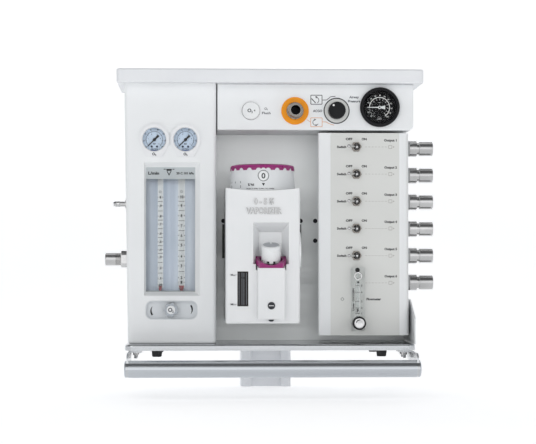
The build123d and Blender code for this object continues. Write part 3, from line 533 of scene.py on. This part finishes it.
def gauge_labels():
    """The gas named under each supply dial."""
    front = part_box("gauge_bezels")[0].y
    for side in ("left", "right"):
        joint = JOINTS[f"supply_gauge_{side}"]
        label = Shape(facing_front(joint.x, front, joint.z))
        label.text("O", -0.8, -GAS_DROP, 3.8, weight=0.06)
        label.text("2", 2.2, -GAS_DROP - 1.6, 2.5, weight=0.06)
        label.piece(f"gas_label_{side}", "ink_black")


# ---------------------------------------------------------------- airway gauge

AIRWAY_ZERO = 180  # angle of the scale's zero
AIRWAY_PITCH = 23  # degrees between the dial's numbers
AIRWAY_NUMBERS, AIRWAY_SMALL_NUMBERS = 18.3, 11.8  # radius of each ring of numbers


def airway_dial():
    """Black dial card of the airway gauge with its white scale."""
    joint = JOINTS["airway_gauge"]
    low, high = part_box("airway_needle")
    place = facing_front(joint.x, high.y + NEEDLE_GAP * MM, joint.z)
    card = Shape(place)
    card.band([(1.6, -0.9), (21.9, -0.9), (21.9, 0), (1.6, 0)], steps=72)
    card.piece("airway_dial", "dial_black")
    marks = Shape(place)
    marks.ring(15.3, 1.0, (-58, AIRWAY_ZERO))
    marks.ticks(range(190, 241, 10), 14.7, 16.3, 0.45)
    marks.ticks([AIRWAY_ZERO - AIRWAY_PITCH * step for step in range(11)], 13.2, 15.2, 0.5)
    for step in (*range(1, 11), -1, -2):
        angle = AIRWAY_ZERO - AIRWAY_PITCH * step
        number = str(10 * abs(step))
        marks.text(number, *around(AIRWAY_NUMBERS, angle), 1.8, 1.3 * len(number), weight=0.03)
        marks.text(str(abs(step)), *around(AIRWAY_SMALL_NUMBERS, angle), 1.5, weight=0.03)
    marks.text("kPa", 0, 7.4, 1.4, weight=0)
    marks.text("x100 Pa", -0.5, -14.4, 1.2, 4.8, weight=0)
    marks.text("cmH2O", -0.5, -17.4, 1.7, 7, weight=0)
    marks.piece("airway_marks", "ink_white")
    pin = Shape(facing_front(joint.x, low.y, joint.z))
    pin.turned([(1.2, -0.2), (1.2, 0.2), (0.6, 0.5)], steps=20)
    pin.piece("airway_pin", "needle_black", "airway_needle")


# ---------------------------------------------------------------- flow window

HEADER_HEIGHT = 21.5
HEADER_THICKNESS = 0.25
HEADER_EDGE = 0.2  # from the window's edges to the strip


def window_header():
    """Printed strip across the top of the flow window."""
    low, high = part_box("flow_window")
    centre = (low.x + high.x) / 2
    half = (high.x - low.x) / MM / 2 - HEADER_EDGE
    strip = Shape(facing_front(centre, low.y, high.z))
    outline = rounded((-half, half), (-HEADER_HEIGHT, -HEADER_EDGE), 0.6, 2)
    strip.prism(outline, 0, HEADER_THICKNESS)
    strip.piece("window_header", "header_grey")
    marks = Shape(facing_front(centre, low.y - HEADER_THICKNESS * MM, high.z))
    marks.text("L/min", -25.6, -12.6, 4.4, 16.5, weight=0.06)
    marks.text("20 C 101 kPa", 21.5, -12.8, 3.3, 26, weight=0.06)
    marks.bar((-10.6, -6.8), (-7.6, -6.8), 1.1)
    marks.bar((2.6, -6.8), (5.6, -6.8), 1.1)
    marks.prism([(-6.9, -6.4), (-6.1, -9.2), (1.1, -9.2), (1.9, -6.4)])
    marks.bar((-5.6, -9.6), (-2.2, -16.0), 1.2)
    marks.bar((0.6, -9.6), (-2.8, -16.0), 1.2)
    marks.piece("window_marks", "ink_black")


# heights of the scale marks of both tubes above the frame's origin
LOW_SCALE = (165, 175, 190.5, 207, 218, 230, 242.5, 256.5, 268.5, 284, 297)
LOW_NUMBERS = (".05", ".1", ".2", ".3", ".4", ".5", ".6", ".7", ".8", ".9", "1")
HIGH_SCALE = (169, 176, 193.7, 208, 225, 239.3, 254, 269.2, 284.3, 297.5)
HIGH_NUMBERS = [str(number) for number in range(1, 11)]


def tube_scale(name, float_node, radius, heights, numbers, height):
    """Scale printed on the front of a flow tube: numbers with side marks, and bars half way between them."""
    axis = middle(float_node)
    marks = Shape(facing_front(axis.x, axis.y, 0))
    for z, number in zip(heights, numbers):
        marks.text(number, 0, z, height, 0.6 * height * len(number), weight=0.05)
        for side in (-radius, radius):
            marks.bar((side * 0.74, z), (side * 1.3, z), 0.8)
    for below, above in zip(heights[1:], heights[2:]):
        half_way = (below + above) / 2
        marks.bar((-0.9 * radius, half_way), (0.9 * radius, half_way), 0.75)
    marks.ring(1.5, 0.5, centre=(0, heights[-1] + 8))
    marks.wrap(radius, radius, 1)
    marks.piece(name, "ink_black")


def tube_backing(name, float_node, half_width):
    """White strip behind a flow tube."""
    plate_low, plate_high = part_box("flow_backplate")
    strip = Shape(facing_front(middle(float_node).x, plate_low.y, 0))
    limits = (plate_low.z / MM + 4, plate_high.z / MM - 2)
    strip.prism(rounded((-half_width, half_width), limits, 0.8, 3), 0, 0.4)
    strip.piece(name, "strip_white")


def tube_scales():
    """Scales of both flow tubes and the strips behind them."""
    tube_backing("low_backing", "flow_float_low", 4.2)
    tube_backing("high_backing", "flow_float_high", 5.0)
    tube_scale("low_scale", "flow_float_low", 4.25, LOW_SCALE, LOW_NUMBERS, 3.4)
    tube_scale("high_scale", "flow_float_high", 5.5, HIGH_SCALE, HIGH_NUMBERS, 4.2)


# ---------------------------------------------------------------- oxygen knob

ARROW_RADIUS = 10.6
RECESS_FLOOR = 1.6  # from the recess's back to the face its arrows are printed on
DISC_HEIGHT = 0.3


def swoosh(shape, centre, radius, sweep, widths):
    """A curved stroke whose width changes from one end to the other."""
    inner, outer = [], []
    steps = 12
    for step in range(steps + 1):
        share = step / steps
        angle = sweep[0] + (sweep[1] - sweep[0]) * share
        width = widths[0] + (widths[1] - widths[0]) * math.sin(share * math.pi * 0.62)
        inner.append(around(radius - width / 2, angle))
        outer.append(around(radius + width / 2, angle))
    shape.prism([(centre[0] + x, centre[1] + y) for x, y in outer + inner[::-1]])


def oxygen_knob():
    """Turning arrows in the knob's recess, and the gas named on the knob."""
    joint = JOINTS["oxygen_flow_turn"]
    arrows = Shape(facing_front(joint.x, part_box("knob_recess")[1].y - RECESS_FLOOR * MM, joint.z))
    swoosh(arrows, (-19.6, -1.6), ARROW_RADIUS, (144, 218), (0.5, 2.6))
    swoosh(arrows, (21.0, 0), ARROW_RADIUS, (-36, 38), (0.5, 2.6))
    arrows.piece("knob_arrows", "ink_black")
    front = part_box("oxygen_flow_knob")[0].y
    disc = Shape(facing_front(joint.x, front, joint.z))
    disc.turned([(6.4, -0.3), (6.4, 0.15), (6.1, DISC_HEIGHT)], steps=40)
    disc.piece("knob_disc", "knob_white", "oxygen_flow_knob")
    face = Shape(facing_front(joint.x, front - DISC_HEIGHT * MM, joint.z))
    face.text("O", -1.1, 0.2, 5.8, weight=0.06)
    face.text("2", 3.0, -2.6, 3.2, weight=0.06)
    face.piece("knob_gas", "ink_grey", "oxygen_flow_knob")


# ---------------------------------------------------------------- control box

SELECTOR_RING = 18.9
SPRING_WIRE = 0.5  # radius of the wire
SPRING_PITCH = 2.3
SPRING_STEPS = 24  # sections in a turn
SPRING_TURNS = 2  # in each half


def flush_label():
    """Gas and arrow on the flush button, and its name beside it."""
    face = Shape(front_of("flush_button"))
    face.text("O", -2.4, 0.4, 5.2, weight=0.06)
    face.text("2", 1.6, -2.0, 3.0, weight=0.06)
    face.prism([(3.8, 0.2), (6.4, 1.7), (6.4, -1.3)])
    face.piece("flush_gas", "ink_grey", "flush_button")
    button = middle("flush_button")
    label = Shape(facing_front(button.x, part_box("upper_box")[0].y, button.z))
    label.text("O", 22.2, 3.4, 3.4)
    label.text("2", 24.8, 2.2, 2.0)
    label.text("Flush", 23.2, -3.1, 3.4, 13)
    label.piece("flush_label", "ink_grey")


def spring_half(name, height, radii, body=HEAD):
    """Half of the flush button's return spring, from a height in mm above the spring's seat."""
    axis = middle("flush_spring")
    coil = Shape(facing_front(axis.x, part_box("flush_spring")[1].y, axis.z))
    sections = []
    for step in range(SPRING_TURNS * SPRING_STEPS + 1):
        turn = step / SPRING_STEPS
        out_x, out_y = around(1, 360 * turn)
        radius = radii[0] + (radii[1] - radii[0]) * turn / SPRING_TURNS
        wire = circle(radius, height + SPRING_PITCH * turn, SPRING_WIRE, 10)
        sections.append([(r * out_x, r * out_y, z) for r, z in wire])
    coil.loft(sections)
    return coil.piece(name, "spring_steel", body)


def flush_return_spring():
    """Conical spring behind the flush button. Its wide half moves with the button, over the narrow half."""
    seat = spring_half("spring_seat_half", SPRING_WIRE, (5.4, 7.1))
    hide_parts("flush_spring")
    spring_half("spring_button_half", 5.0, (8.5, 10.2), "flush_button")


def pipe(shape, points, width):
    """A printed line along several points."""
    for start, end in zip(points, points[1:]):
        shape.bar(start, end, width)


def frame_line(shape, x, y, width):
    """A printed rectangle."""
    outer = rounded(x, y, 1.0, 3)
    inner = rounded((x[0] + width, x[1] - width), (y[0] + width, y[1] - width), 0.6, 3)
    shape.plate(outer, [inner])


def outlet_lining():
    """Painted shade: a dark sleeve and end disc inside the bore of the common gas outlet."""
    bore = Shape(front_of("gas_outlet"))
    bore.band([(7.0, -33), (7.45, -33), (7.45, -1.6), (7.0, -1.6)], steps=40)
    bore.turned([(7.2, -34.5), (7.2, -33.2)], steps=40)
    bore.piece("outlet_lining", "painted_shade_dark")


def selector_print():
    """Ring, icons and lines printed round the circuit selector."""
    joint = JOINTS["circuit_select"]
    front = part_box("upper_box")[0].y
    place = facing_front(joint.x, front, joint.z)
    rest = Shape(place)
    rest.ring(15.6, 4.9)
    rest.piece("selector_annulus", "overlay_grey")
    dark = Shape(place)
    dark.ring(SELECTOR_RING, 1.6)
    frame_line(dark, (-39.4, -21.5), (9.3, 23.9), 1.0)
    pipe(dark, [(-21.6, 16.2), (-15.4, 16.2), (-12.4, 18.2), (-9.4, 20.8), (-6.4, 21.6), (-1.8, 21.8)], 0.9)
    dark.bar((-38.0, 18.4), (-31.6, 11.6), 1.3)
    dark.prism([(-32.6, 21.4), (-29.2, 22.0), (-30.4, 18.6)])
    dark.ring(4.6, 0.9, (-60, 95), (-31.4, 15.8))
    dark.piece("selector_lines", "ink_black")
    warm = Shape(place)
    frame_line(warm, (-39.4, -21.5), (-24.5, -10.4), 0.7)
    pipe(warm, [(-21.6, -16.8), (-16.2, -16.8), (-11.4, -19.5), (-3.8, -21.6)], 0.7)
    pipe(warm, [(-44.6, -13.6), (-39.3, -17.4)], 0.6)
    warm.piece("selector_orange_lines", "ink_orange")
    loop = Shape(place)
    loop.ring(4.3, 0.9, (110, 330), (-31.6, -17.6))
    loop.prism([(-33.8, -12.0), (-30.8, -13.0), (-33.4, -15.2)])
    loop.turned([(1.2, 0), (1.2, PRINT)], (-31.0, -21.8), 16)
    loop.text("ACGO", -28.6, -0.2, 3.6, 14, weight=0.05)
    loop.piece("selector_words", "ink_grey")
    airway = Shape(place)
    airway.text("Airway", 26.4, 20.8, 3.5, 14.5, weight=0.05)
    airway.text("Pressure", 26.4, 14.6, 3.5, 18.5, weight=0.05)
    airway.piece("airway_words", "ink_grey")
    dot = Shape(facing_front(joint.x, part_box("selector_knob")[0].y, joint.z))
    dot.turned([(1.5, 0), (1.5, 0.15), (0.9, 0.35)], around(9.2, 128), 20)
    dot.piece("selector_dot", "ink_white", "selector_knob")


# ---------------------------------------------------------------- output box

OVERLAY_INSET = 0.2  # its thickness, and its distance from the box's upper and lower edges
OVERLAY_X = (91.3, 195.3)
SWITCH_HOLE = 7.2
SWITCH_WORD_X, OFF_X, ON_X, METER_WORD_X, OUTPUT_X = 108.1, 119.3, 142.3, 156.3, 182.2
DASHES_X, DASH_LENGTH, DASH_PITCH = 143.6, 2.8, 5
METER_ROW = 143.6  # height of the flowmeter's name


def switch_rows():
    """Height of each switch row, from the switches' joints."""
    return [JOINTS[f"output_switch_{number}"].z for number in range(1, 6)]


def output_overlay():
    """Printed overlay of the output box with the words, squares and flow lines of each row."""
    low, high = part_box("right_box")
    switch_x = JOINTS["output_switch_1"].x / MM
    left, right = OVERLAY_X
    bottom, top = low.z / MM + OVERLAY_INSET, high.z / MM - OVERLAY_INSET
    sheet = Shape(facing_front(0, low.y, 0))
    holes = [circle(switch_x, row / MM, SWITCH_HOLE, 24) for row in switch_rows()]
    sheet.plate([(left, bottom), (right, bottom), (right, top), (left, top)], holes, 0, OVERLAY_INSET)
    sheet.piece("output_overlay", "overlay_grey")
    place = facing_front(0, low.y - OVERLAY_INSET * MM, 0)
    words = Shape(place)
    pale = Shape(place)
    rows = [MOUNTS[f"output_{number}_nose"].z / MM for number in range(1, 7)]
    for number, row in enumerate(rows, 1):
        words.text(f"Output {number}", OUTPUT_X, row + 10.1, 3.4, 19, weight=0.06)
        frame_line(pale, (179.0, 184.4), (row - 2.7, row + 2.7), 0.6)
        pale.prism([(185.9, row + 1.2), (188.0, row), (185.9, row - 1.2)])
        for dash in range(7):
            start = DASHES_X + DASH_PITCH * dash
            pale.bar((start, row), (start + DASH_LENGTH, row), 0.5)
    for row in rows[:5]:
        words.text("OFF", OFF_X, row + 11.9, 3.4, 10, weight=0.06)
        words.text("ON", ON_X, row + 11.9, 3.4, 7.8, weight=0.06)
        words.text("Switch", SWITCH_WORD_X, row, 3.4, 14.2, weight=0.06)
    words.text("Flowmeter", METER_WORD_X, METER_ROW, 3.4, 22, weight=0.06)
    corners = [around(2.6, angle) for angle in (180, 90, 0, -90, -180)]
    pipe(words, [(109 + x, METER_ROW + y) for x, y in corners], 0.5)
    words.piece("output_words", "ink_black")
    pale.piece("output_lines", "ink_pale")


def switch_boots():
    """Black ring in the mouth of each switch, round its lever."""
    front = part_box("toggle_valves")[0].y
    for number, row in enumerate(switch_rows(), 1):
        boot = Shape(facing_front(JOINTS["output_switch_1"].x, front, row))
        boot.band([(3.9, 0), (5.6, 0), (5.6, 0.5), (5.0, 0.9), (4.2, 0.6), (3.9, 0.3)], steps=32)
        boot.piece(f"switch_boot_{number}", "foot_rubber")


METER_SCALE = (122.4, 130.8, 140.5, 154.1, 164.1)  # heights of its marks above the frame's origin


def flowmeter_print():
    """Scale, stop screws and rings of the small flowmeter, and the face of its knob with an arc of painted shade
    on it.
    """
    place = facing_front(middle("flowmeter_ball").x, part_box("flowmeter_block")[0].y, 0)
    marks = Shape(place)
    for number, z in enumerate(METER_SCALE, 1):
        marks.bar((-4.4, z), (2.4, z), 0.6)
        marks.text(str(number), 5.4, z, 2.9)
    marks.text("L/min  OXYGEN", -7.2, METER_ROW - 0.2, 2.6, 33, turn=90, weight=0.06)
    marks.turned([(1.7, 0), (1.7, PRINT)], (0, 169.2), 20)
    marks.piece("meter_marks", "ink_black")
    plug = Shape(place)
    plug.turned([(3.4, -0.4), (3.4, 0.8), (2.9, 1.2)], (-1.0, 187.4), 28)
    plug.piece("meter_plug", "meter_knob")
    fitting = Shape(place)
    lip = [(4.2, -0.3), (6.2, -0.3), (6.2, 0.7), (5.8, 1.0), (4.6, 1.0), (4.2, 0.7)]
    fitting.band(lip, (0, 178.6), 40)
    fitting.piece("meter_fitting", "fitting_chrome")
    dish = Shape(front_of("flowmeter_knob"))
    dish.turned([(7.6, -0.3), (7.6, 0.3), (7.0, 0.6), (5.6, 0.45), (1.5, 0.3)], steps=40)
    dish.piece("meter_knob_face", "lever_metal", "flowmeter_knob")
    # Dark arc on the knob's face: painted shade.
    shade = Shape(front_of("flowmeter_knob") @ Matrix.Translation((0, 0, 0.35)))
    shade.ring(4.9, 1.3, (78, 168))
    shade.piece("meter_knob_painted_shade", "meter_knob", "flowmeter_knob")


# ---------------------------------------------------------------- vaporizer

SKIRT_BOTTOM, SKIRT_TOP = 49.5, 47.2  # radius of the dial's skirt at its lower and upper edge
SKIRT_HEIGHT = 29.6
SKIRT_DROP = 21.0  # from the zero button's centre to the skirt's lower edge
DIAL_PITCH = 13.5  # degrees between the dial's marks
DIAL_START = 37  # from the button's centre to the first mark, along the skirt
NAME_CAPITALS = 9.0
NAME_LINES = (("0 - 5 %", 289.2, 30), ("VAPORIZER", 275.4, 53))  # words, height above the origin, width
FILLER_TILT = 17  # degrees from upright, towards the front


def vaporizer_dial_print():
    """Concentration scale round the dial's skirt, and the zero on its button."""
    joint = JOINTS["dial_turn"]
    button_z = middle("zero_button").z
    base = button_z - SKIRT_DROP * MM
    scale = Shape(facing_front(joint.x, joint.y, base))
    scale.prism([(-2.4, 10.0), (0, 5.8), (2.4, 10.0)])
    scale.text("% Vol", -18.8, 7.9, 3.6, 9.6, weight=0.06)
    scale.text("PUSH 0 AND TURN TO OPEN", -5, 1.9, 1.7, 42)
    step = math.radians(DIAL_PITCH) * SKIRT_BOTTOM
    for number in range(1, 15):
        x = -(DIAL_START + step * (number - 1))
        scale.bar((x, 10.2), (x, 13.2), 0.8)
        if number % 2:
            scale.text(str((number + 1) // 2), x, 5.4, 3.8)
    scale.wrap(SKIRT_BOTTOM, SKIRT_TOP, SKIRT_HEIGHT)
    scale.piece("dial_scale", "ink_black", "vaporizer_dial")
    ring = Shape(facing_front(joint.x, joint.y, base))
    ring.ring(8.1, 0.6, centre=(0, (button_z - base) / MM))
    ring.wrap(SKIRT_BOTTOM, SKIRT_TOP, SKIRT_HEIGHT)
    ring.piece("dial_ring", "ink_grey", "vaporizer_dial")
    zero = Shape(facing_front(joint.x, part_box("zero_button")[0].y, button_z))
    zero.text("0", 0, 0, 8.0, 5.8)
    zero.piece("zero_mark", "ink_black", "zero_button")


def vaporizer_print():
    """Raised name on the casting, with a grey rim round its letters that is painted shade, and the two level marks
    beside the sight glass.
    """
    centre, front = middle("vaporizer_body").x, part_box("vaporizer_body")[0].y
    raised = Shape(facing_front(centre, front, 0))
    outline = Shape(facing_front(centre, front, 0))
    # The wider grey copy of the lettering, under the raised letters, is their painted shade.
    for shape, depth, weight in ((outline, 0.15, 0.065), (raised, 0.7, -0.02)):
        for words, z, width in NAME_LINES:
            shape.text(words, 0.6, z, NAME_CAPITALS, width, depth=depth, weight=weight)
    raised.piece("raised_name", "vaporizer_white")
    outline.piece("raised_name_shade", "painted_edge_shade")
    sight_low, sight_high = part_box("sight_glass")
    levels = Shape(facing_front(sight_low.x, front, 0))
    for words, z in (("Max", sight_high.z / MM - 5), ("Min", sight_low.z / MM + 3)):
        levels.text(words, -6.4, z, 3.0, 7.2, weight=0.01)
        levels.bar((-2.4, z), (-0.6, z), 0.4)
    levels.piece("level_words", "ink_grey")


def sight_details():
    """Float, float rod and scale lines behind the sight glass's front face."""
    low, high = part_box("sight_glass")
    centre = (low.x + high.x) / 2
    height = (high.z - low.z) / MM
    lines = Shape(facing_front(centre, low.y, low.z))
    for x, width in ((-5.6, 0.5), (-1.3, 0.6), (1.5, 0.6), (5.4, 0.5)):
        lines.bar((x, 2), (x, height - 2), width)
    lines.piece("sight_lines", "sight_line")
    ball = Shape(facing_front(centre, low.y - PRINT * MM, high.z))
    ball.turned([(1.7, 0), (1.7, PRINT)], (0.2, -9.5), 20)
    ball.piece("sight_float", "ink_black")


def filler_place(height):
    """A plane across the filler's tilted axis, at a height in mm above the collar's top face."""
    tilt = math.radians(FILLER_TILT)
    across, up = Vector((1, 0, 0)), Vector((0, math.cos(tilt), math.sin(tilt)))
    axis = Vector((0, -math.sin(tilt), math.cos(tilt)))
    turn = Matrix((across, up, axis)).transposed().to_4x4()
    return Matrix.Translation(JOINTS["filler_cap_turn"] + axis * height * MM) @ turn @ Matrix.Scale(MM, 4)


def filler_cap_top():
    """Painted shade: a grey disc on the top of the filler cap, round its notch."""
    cap_shade = Shape(filler_place(22))
    arc = [around(11.8, angle) for angle in range(98, 443, 8)]
    left_side, right_side = [(-1.3, 3.1), (-1.3, arc[0][1])], [(1.3, arc[-1][1]), (1.3, 3.1)]
    cap_shade.prism(left_side + arc[1:-1] + right_side, -0.2, 0.15)
    cap_shade.piece("filler_cap_painted_shade", "insert_shadow", "filler_cap")


def filler_shadows():
    """Painted shade: a dark band in the neck between the teeth of the cap's skirt, and a dark ring on the collar's
    floor.
    """
    neck = Shape(filler_place(-4.1))
    neck.band([(11.1, 0.2), (11.5, 0.2), (11.5, 4.0), (11.1, 4.0)], steps=40)
    neck.piece("filler_neck_shade", "painted_shade_dark", "filler_cap")
    floor_shade = Shape(filler_place(-4.5))
    floor_shade.band([(8.4, 0), (17.3, 0), (17.3, 0.25), (8.4, 0.25)], steps=48)
    floor_shade.piece("filler_floor_shade", "painted_shade_dark")


def drain_details():
    """A painted highlight across the drain screw's slot, and the dark spout under the filler housing."""
    # A bright metal bar across the slot: painted highlight.
    slot = Shape(front_of("drain_screw"))
    slot.bar((-3.6, 0), (3.6, 0), 0.9, -0.3, 0.12)
    slot.piece("drain_painted_highlight", "lever_metal", "drain_screw")
    block_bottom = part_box("filler_block")[0].z
    spout = Shape(facing_front(middle("filler_block").x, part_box("vaporizer_body")[0].y, block_bottom))
    spout.prism([(-4.2, -1.2), (4.2, -1.2), (3.4, -2.8), (1.6, -3.8), (-1.6, -3.8), (-3.4, -2.8)], -0.5, 2.4)
    spout.piece("drain_spout", "screw_dark")


# ---------------------------------------------------------------- back panel and screws

PANEL_HOLES = ((-68.5, 263.4), (52.5, 263.4), (75.5, 263.4), (75.5, 232.4))
SIDE_SCREW_Y, SIDE_SCREW_HEIGHTS = -0.145, (0.366, 0.340)
SIDE_LEAN = 6.0  # how far the left wall leans out from top to bottom
REAR_SCREW_INSET = 9


def panel_hole_backing():
    """Painted shade: dark discs behind the back panel's spare holes, so that the holes read dark."""
    hole_shades = Shape(facing_front(0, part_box("back_panel")[1].y, 0))
    for x, z in PANEL_HOLES:
        hole_shades.turned([(4.4, -1.2), (4.4, 0)], (x, z), 28)
    hole_shades.piece("panel_hole_shade_discs", "painted_shade_dark")


def pan_screw(name, place, radius=4.0, height=1.5, finish="fitting_chrome"):
    """A pan-head screw with a cross recess."""
    screw = Shape(place)
    arm, reach = radius * 0.16, radius * 0.58
    cross = []
    for x, y in ((1, 1), (-1, 1), (-1, -1), (1, -1)):
        corner = [(x * reach, y * arm), (x * arm, y * arm), (x * arm, y * reach)]
        cross += corner if x * y > 0 else corner[::-1]
    screw.plate(circle(0, 0, radius * 0.8, 32), [cross], height * 0.45, height)
    rim = [(0.78, 0), (1, 0), (1, 0.5), (0.93, 0.82), (0.78, 1)]
    screw.band([(radius * r, height * z) for r, z in rim], steps=32)
    screw.turned([(radius * 0.79, 0), (radius * 0.79, height * 0.45)], steps=32)
    screw.piece(name, finish)


def side_screws():
    """Two screw heads high on the left side wall, which leans outwards."""
    low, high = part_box("left_cabinet")
    for number, z in enumerate(SIDE_SCREW_HEIGHTS, 1):
        x = low.x + SIDE_LEAN * MM * (high.z - z) / (high.z - low.z)
        pan_screw(f"side_screw_{number}", facing_left(x, SIDE_SCREW_Y, z))


def rear_screws():
    """Screws round the rear housing."""
    low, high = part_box("rear_housing")
    inset = REAR_SCREW_INSET * MM
    for column, x in enumerate((low.x + inset, (low.x + high.x) / 2, high.x - inset), 1):
        for row, z in enumerate((low.z + inset, high.z - inset), 1):
            pan_screw(f"rear_screw_{column}_{row}", facing_back(x, high.y, z), 3.2, 1.2)


# ---------------------------------------------------------------- stage, light and camera

# all of these are in metres, but for the lens and the camera's direction
CAMERA_AT = Vector((-0.1052, -2.805, 0.210))
CAMERA_AIM = Vector((68.0, 1733.3, 33.0))
CAMERA_LENS = 116.42
STAGE_FRONT, STAGE_HALF_WIDTH, STAGE_HEIGHT = -6.0, 6.0, 6.0
BEND_START, BEND_RADIUS, BEND_STEPS = 2.5, 1.5, 12
LAMP_AIM = (0, -0.15, 0.28)
LAMPS = (  # name, place, width and height, power
    ("key", (-1.3, -2.4, 1.7), (1.6, 1.2), 7.5),
    ("front", (-0.2, -3.3, 0.7), (3.4, 2.4), 19),
    ("fill", (1.9, -2.0, 0.9), (1.2, 1.4), 4),
    ("top", (0, 0.1, 2.2), (2.0, 1.2), 5),
)


def cyclorama():
    """Pale floor that curves up into a backdrop."""
    section = [(STAGE_FRONT, 0.0), (BEND_START, 0.0)]
    for step in range(1, BEND_STEPS + 1):
        y, z = around(BEND_RADIUS, 90 * step / BEND_STEPS - 90)
        section.append((BEND_START + y, BEND_RADIUS + z))
    section.append((BEND_START + BEND_RADIUS, STAGE_HEIGHT))
    mesh = bmesh.new()
    rows = []
    for x in (-STAGE_HALF_WIDTH, STAGE_HALF_WIDTH):
        rows.append([mesh.verts.new((x, y, z)) for y, z in section])
    for index in range(len(section) - 1):
        mesh.faces.new((rows[0][index], rows[1][index], rows[1][index + 1], rows[0][index + 1]))
    data = bpy.data.meshes.new("cyclorama")
    mesh.to_mesh(data)
    mesh.free()
    data.polygons.foreach_set("use_smooth", [True] * len(data.polygons))
    finish = Finish("stage_white", emission_color=(1, 1, 1, 1), emission_strength=0.5)
    finish.feed(finish.mix(finish.span(finish.noise(2), 0, 1), "f4f5f6", "eff0f2"), "Base Color")
    finish.shader.inputs["Roughness"].default_value = 0.9
    data.materials.append(finish.material)
    floor = bpy.data.objects.new("cyclorama", data)
    bpy.context.scene.collection.objects.link(floor)


def lamp(name, place, size, power):
    """Soft rectangular lamp that points at the object."""
    data = bpy.data.lights.new(name, "AREA")
    data.shape = "RECTANGLE"
    data.size, data.size_y = size
    data.energy = power
    made = bpy.data.objects.new(name, data)
    made.location = place
    made.rotation_euler = (Vector(LAMP_AIM) - Vector(place)).to_track_quat("-Z", "Y").to_euler()
    bpy.context.scene.collection.objects.link(made)


def sky(scene):
    """World light, dim overhead and brighter towards the horizon and below it."""
    world = bpy.data.worlds.new("studio")
    world.use_nodes = True
    nodes, links = world.node_tree.nodes, world.node_tree.links
    direction = nodes.new("ShaderNodeSeparateXYZ")
    links.new(nodes.new("ShaderNodeTexCoord").outputs["Generated"], direction.inputs["Vector"])
    fade = nodes.new("ShaderNodeMapRange")
    for socket, number in zip(("From Min", "From Max", "To Min", "To Max"), (0.0, 0.7, 0.85, 0.16)):
        fade.inputs[socket].default_value = number
    links.new(direction.outputs["Z"], fade.inputs["Value"])
    background = nodes["Background"]
    background.inputs["Color"].default_value = (0.97, 0.98, 1.0, 1.0)
    links.new(fade.outputs["Result"], background.inputs["Strength"])
    scene.world = world


def studio():
    """Camera, world light and soft lamps."""
    scene = bpy.context.scene
    camera = bpy.data.cameras.new("camera")
    camera.lens = CAMERA_LENS
    camera.sensor_width = 36
    holder = bpy.data.objects.new("camera", camera)
    holder.location = CAMERA_AT
    holder.rotation_euler = CAMERA_AIM.to_track_quat("-Z", "Y").to_euler()
    scene.collection.objects.link(holder)
    scene.camera = holder
    sky(scene)
    scene.view_settings.view_transform = "Standard"
    for settings in LAMPS:
        lamp(*settings)


dress_cad_nodes()
for gauge_side in ("left", "right"):
    supply_dial(gauge_side)
gauge_labels()
airway_dial()
window_header()
tube_scales()
oxygen_knob()
flush_label()
flush_return_spring()
outlet_lining()
selector_print()
output_overlay()
switch_boots()
flowmeter_print()
vaporizer_dial_print()
vaporizer_print()
sight_details()
filler_cap_top()
filler_shadows()
drain_details()
panel_hole_backing()
side_screws()
rear_screws()
cyclorama()
studio()
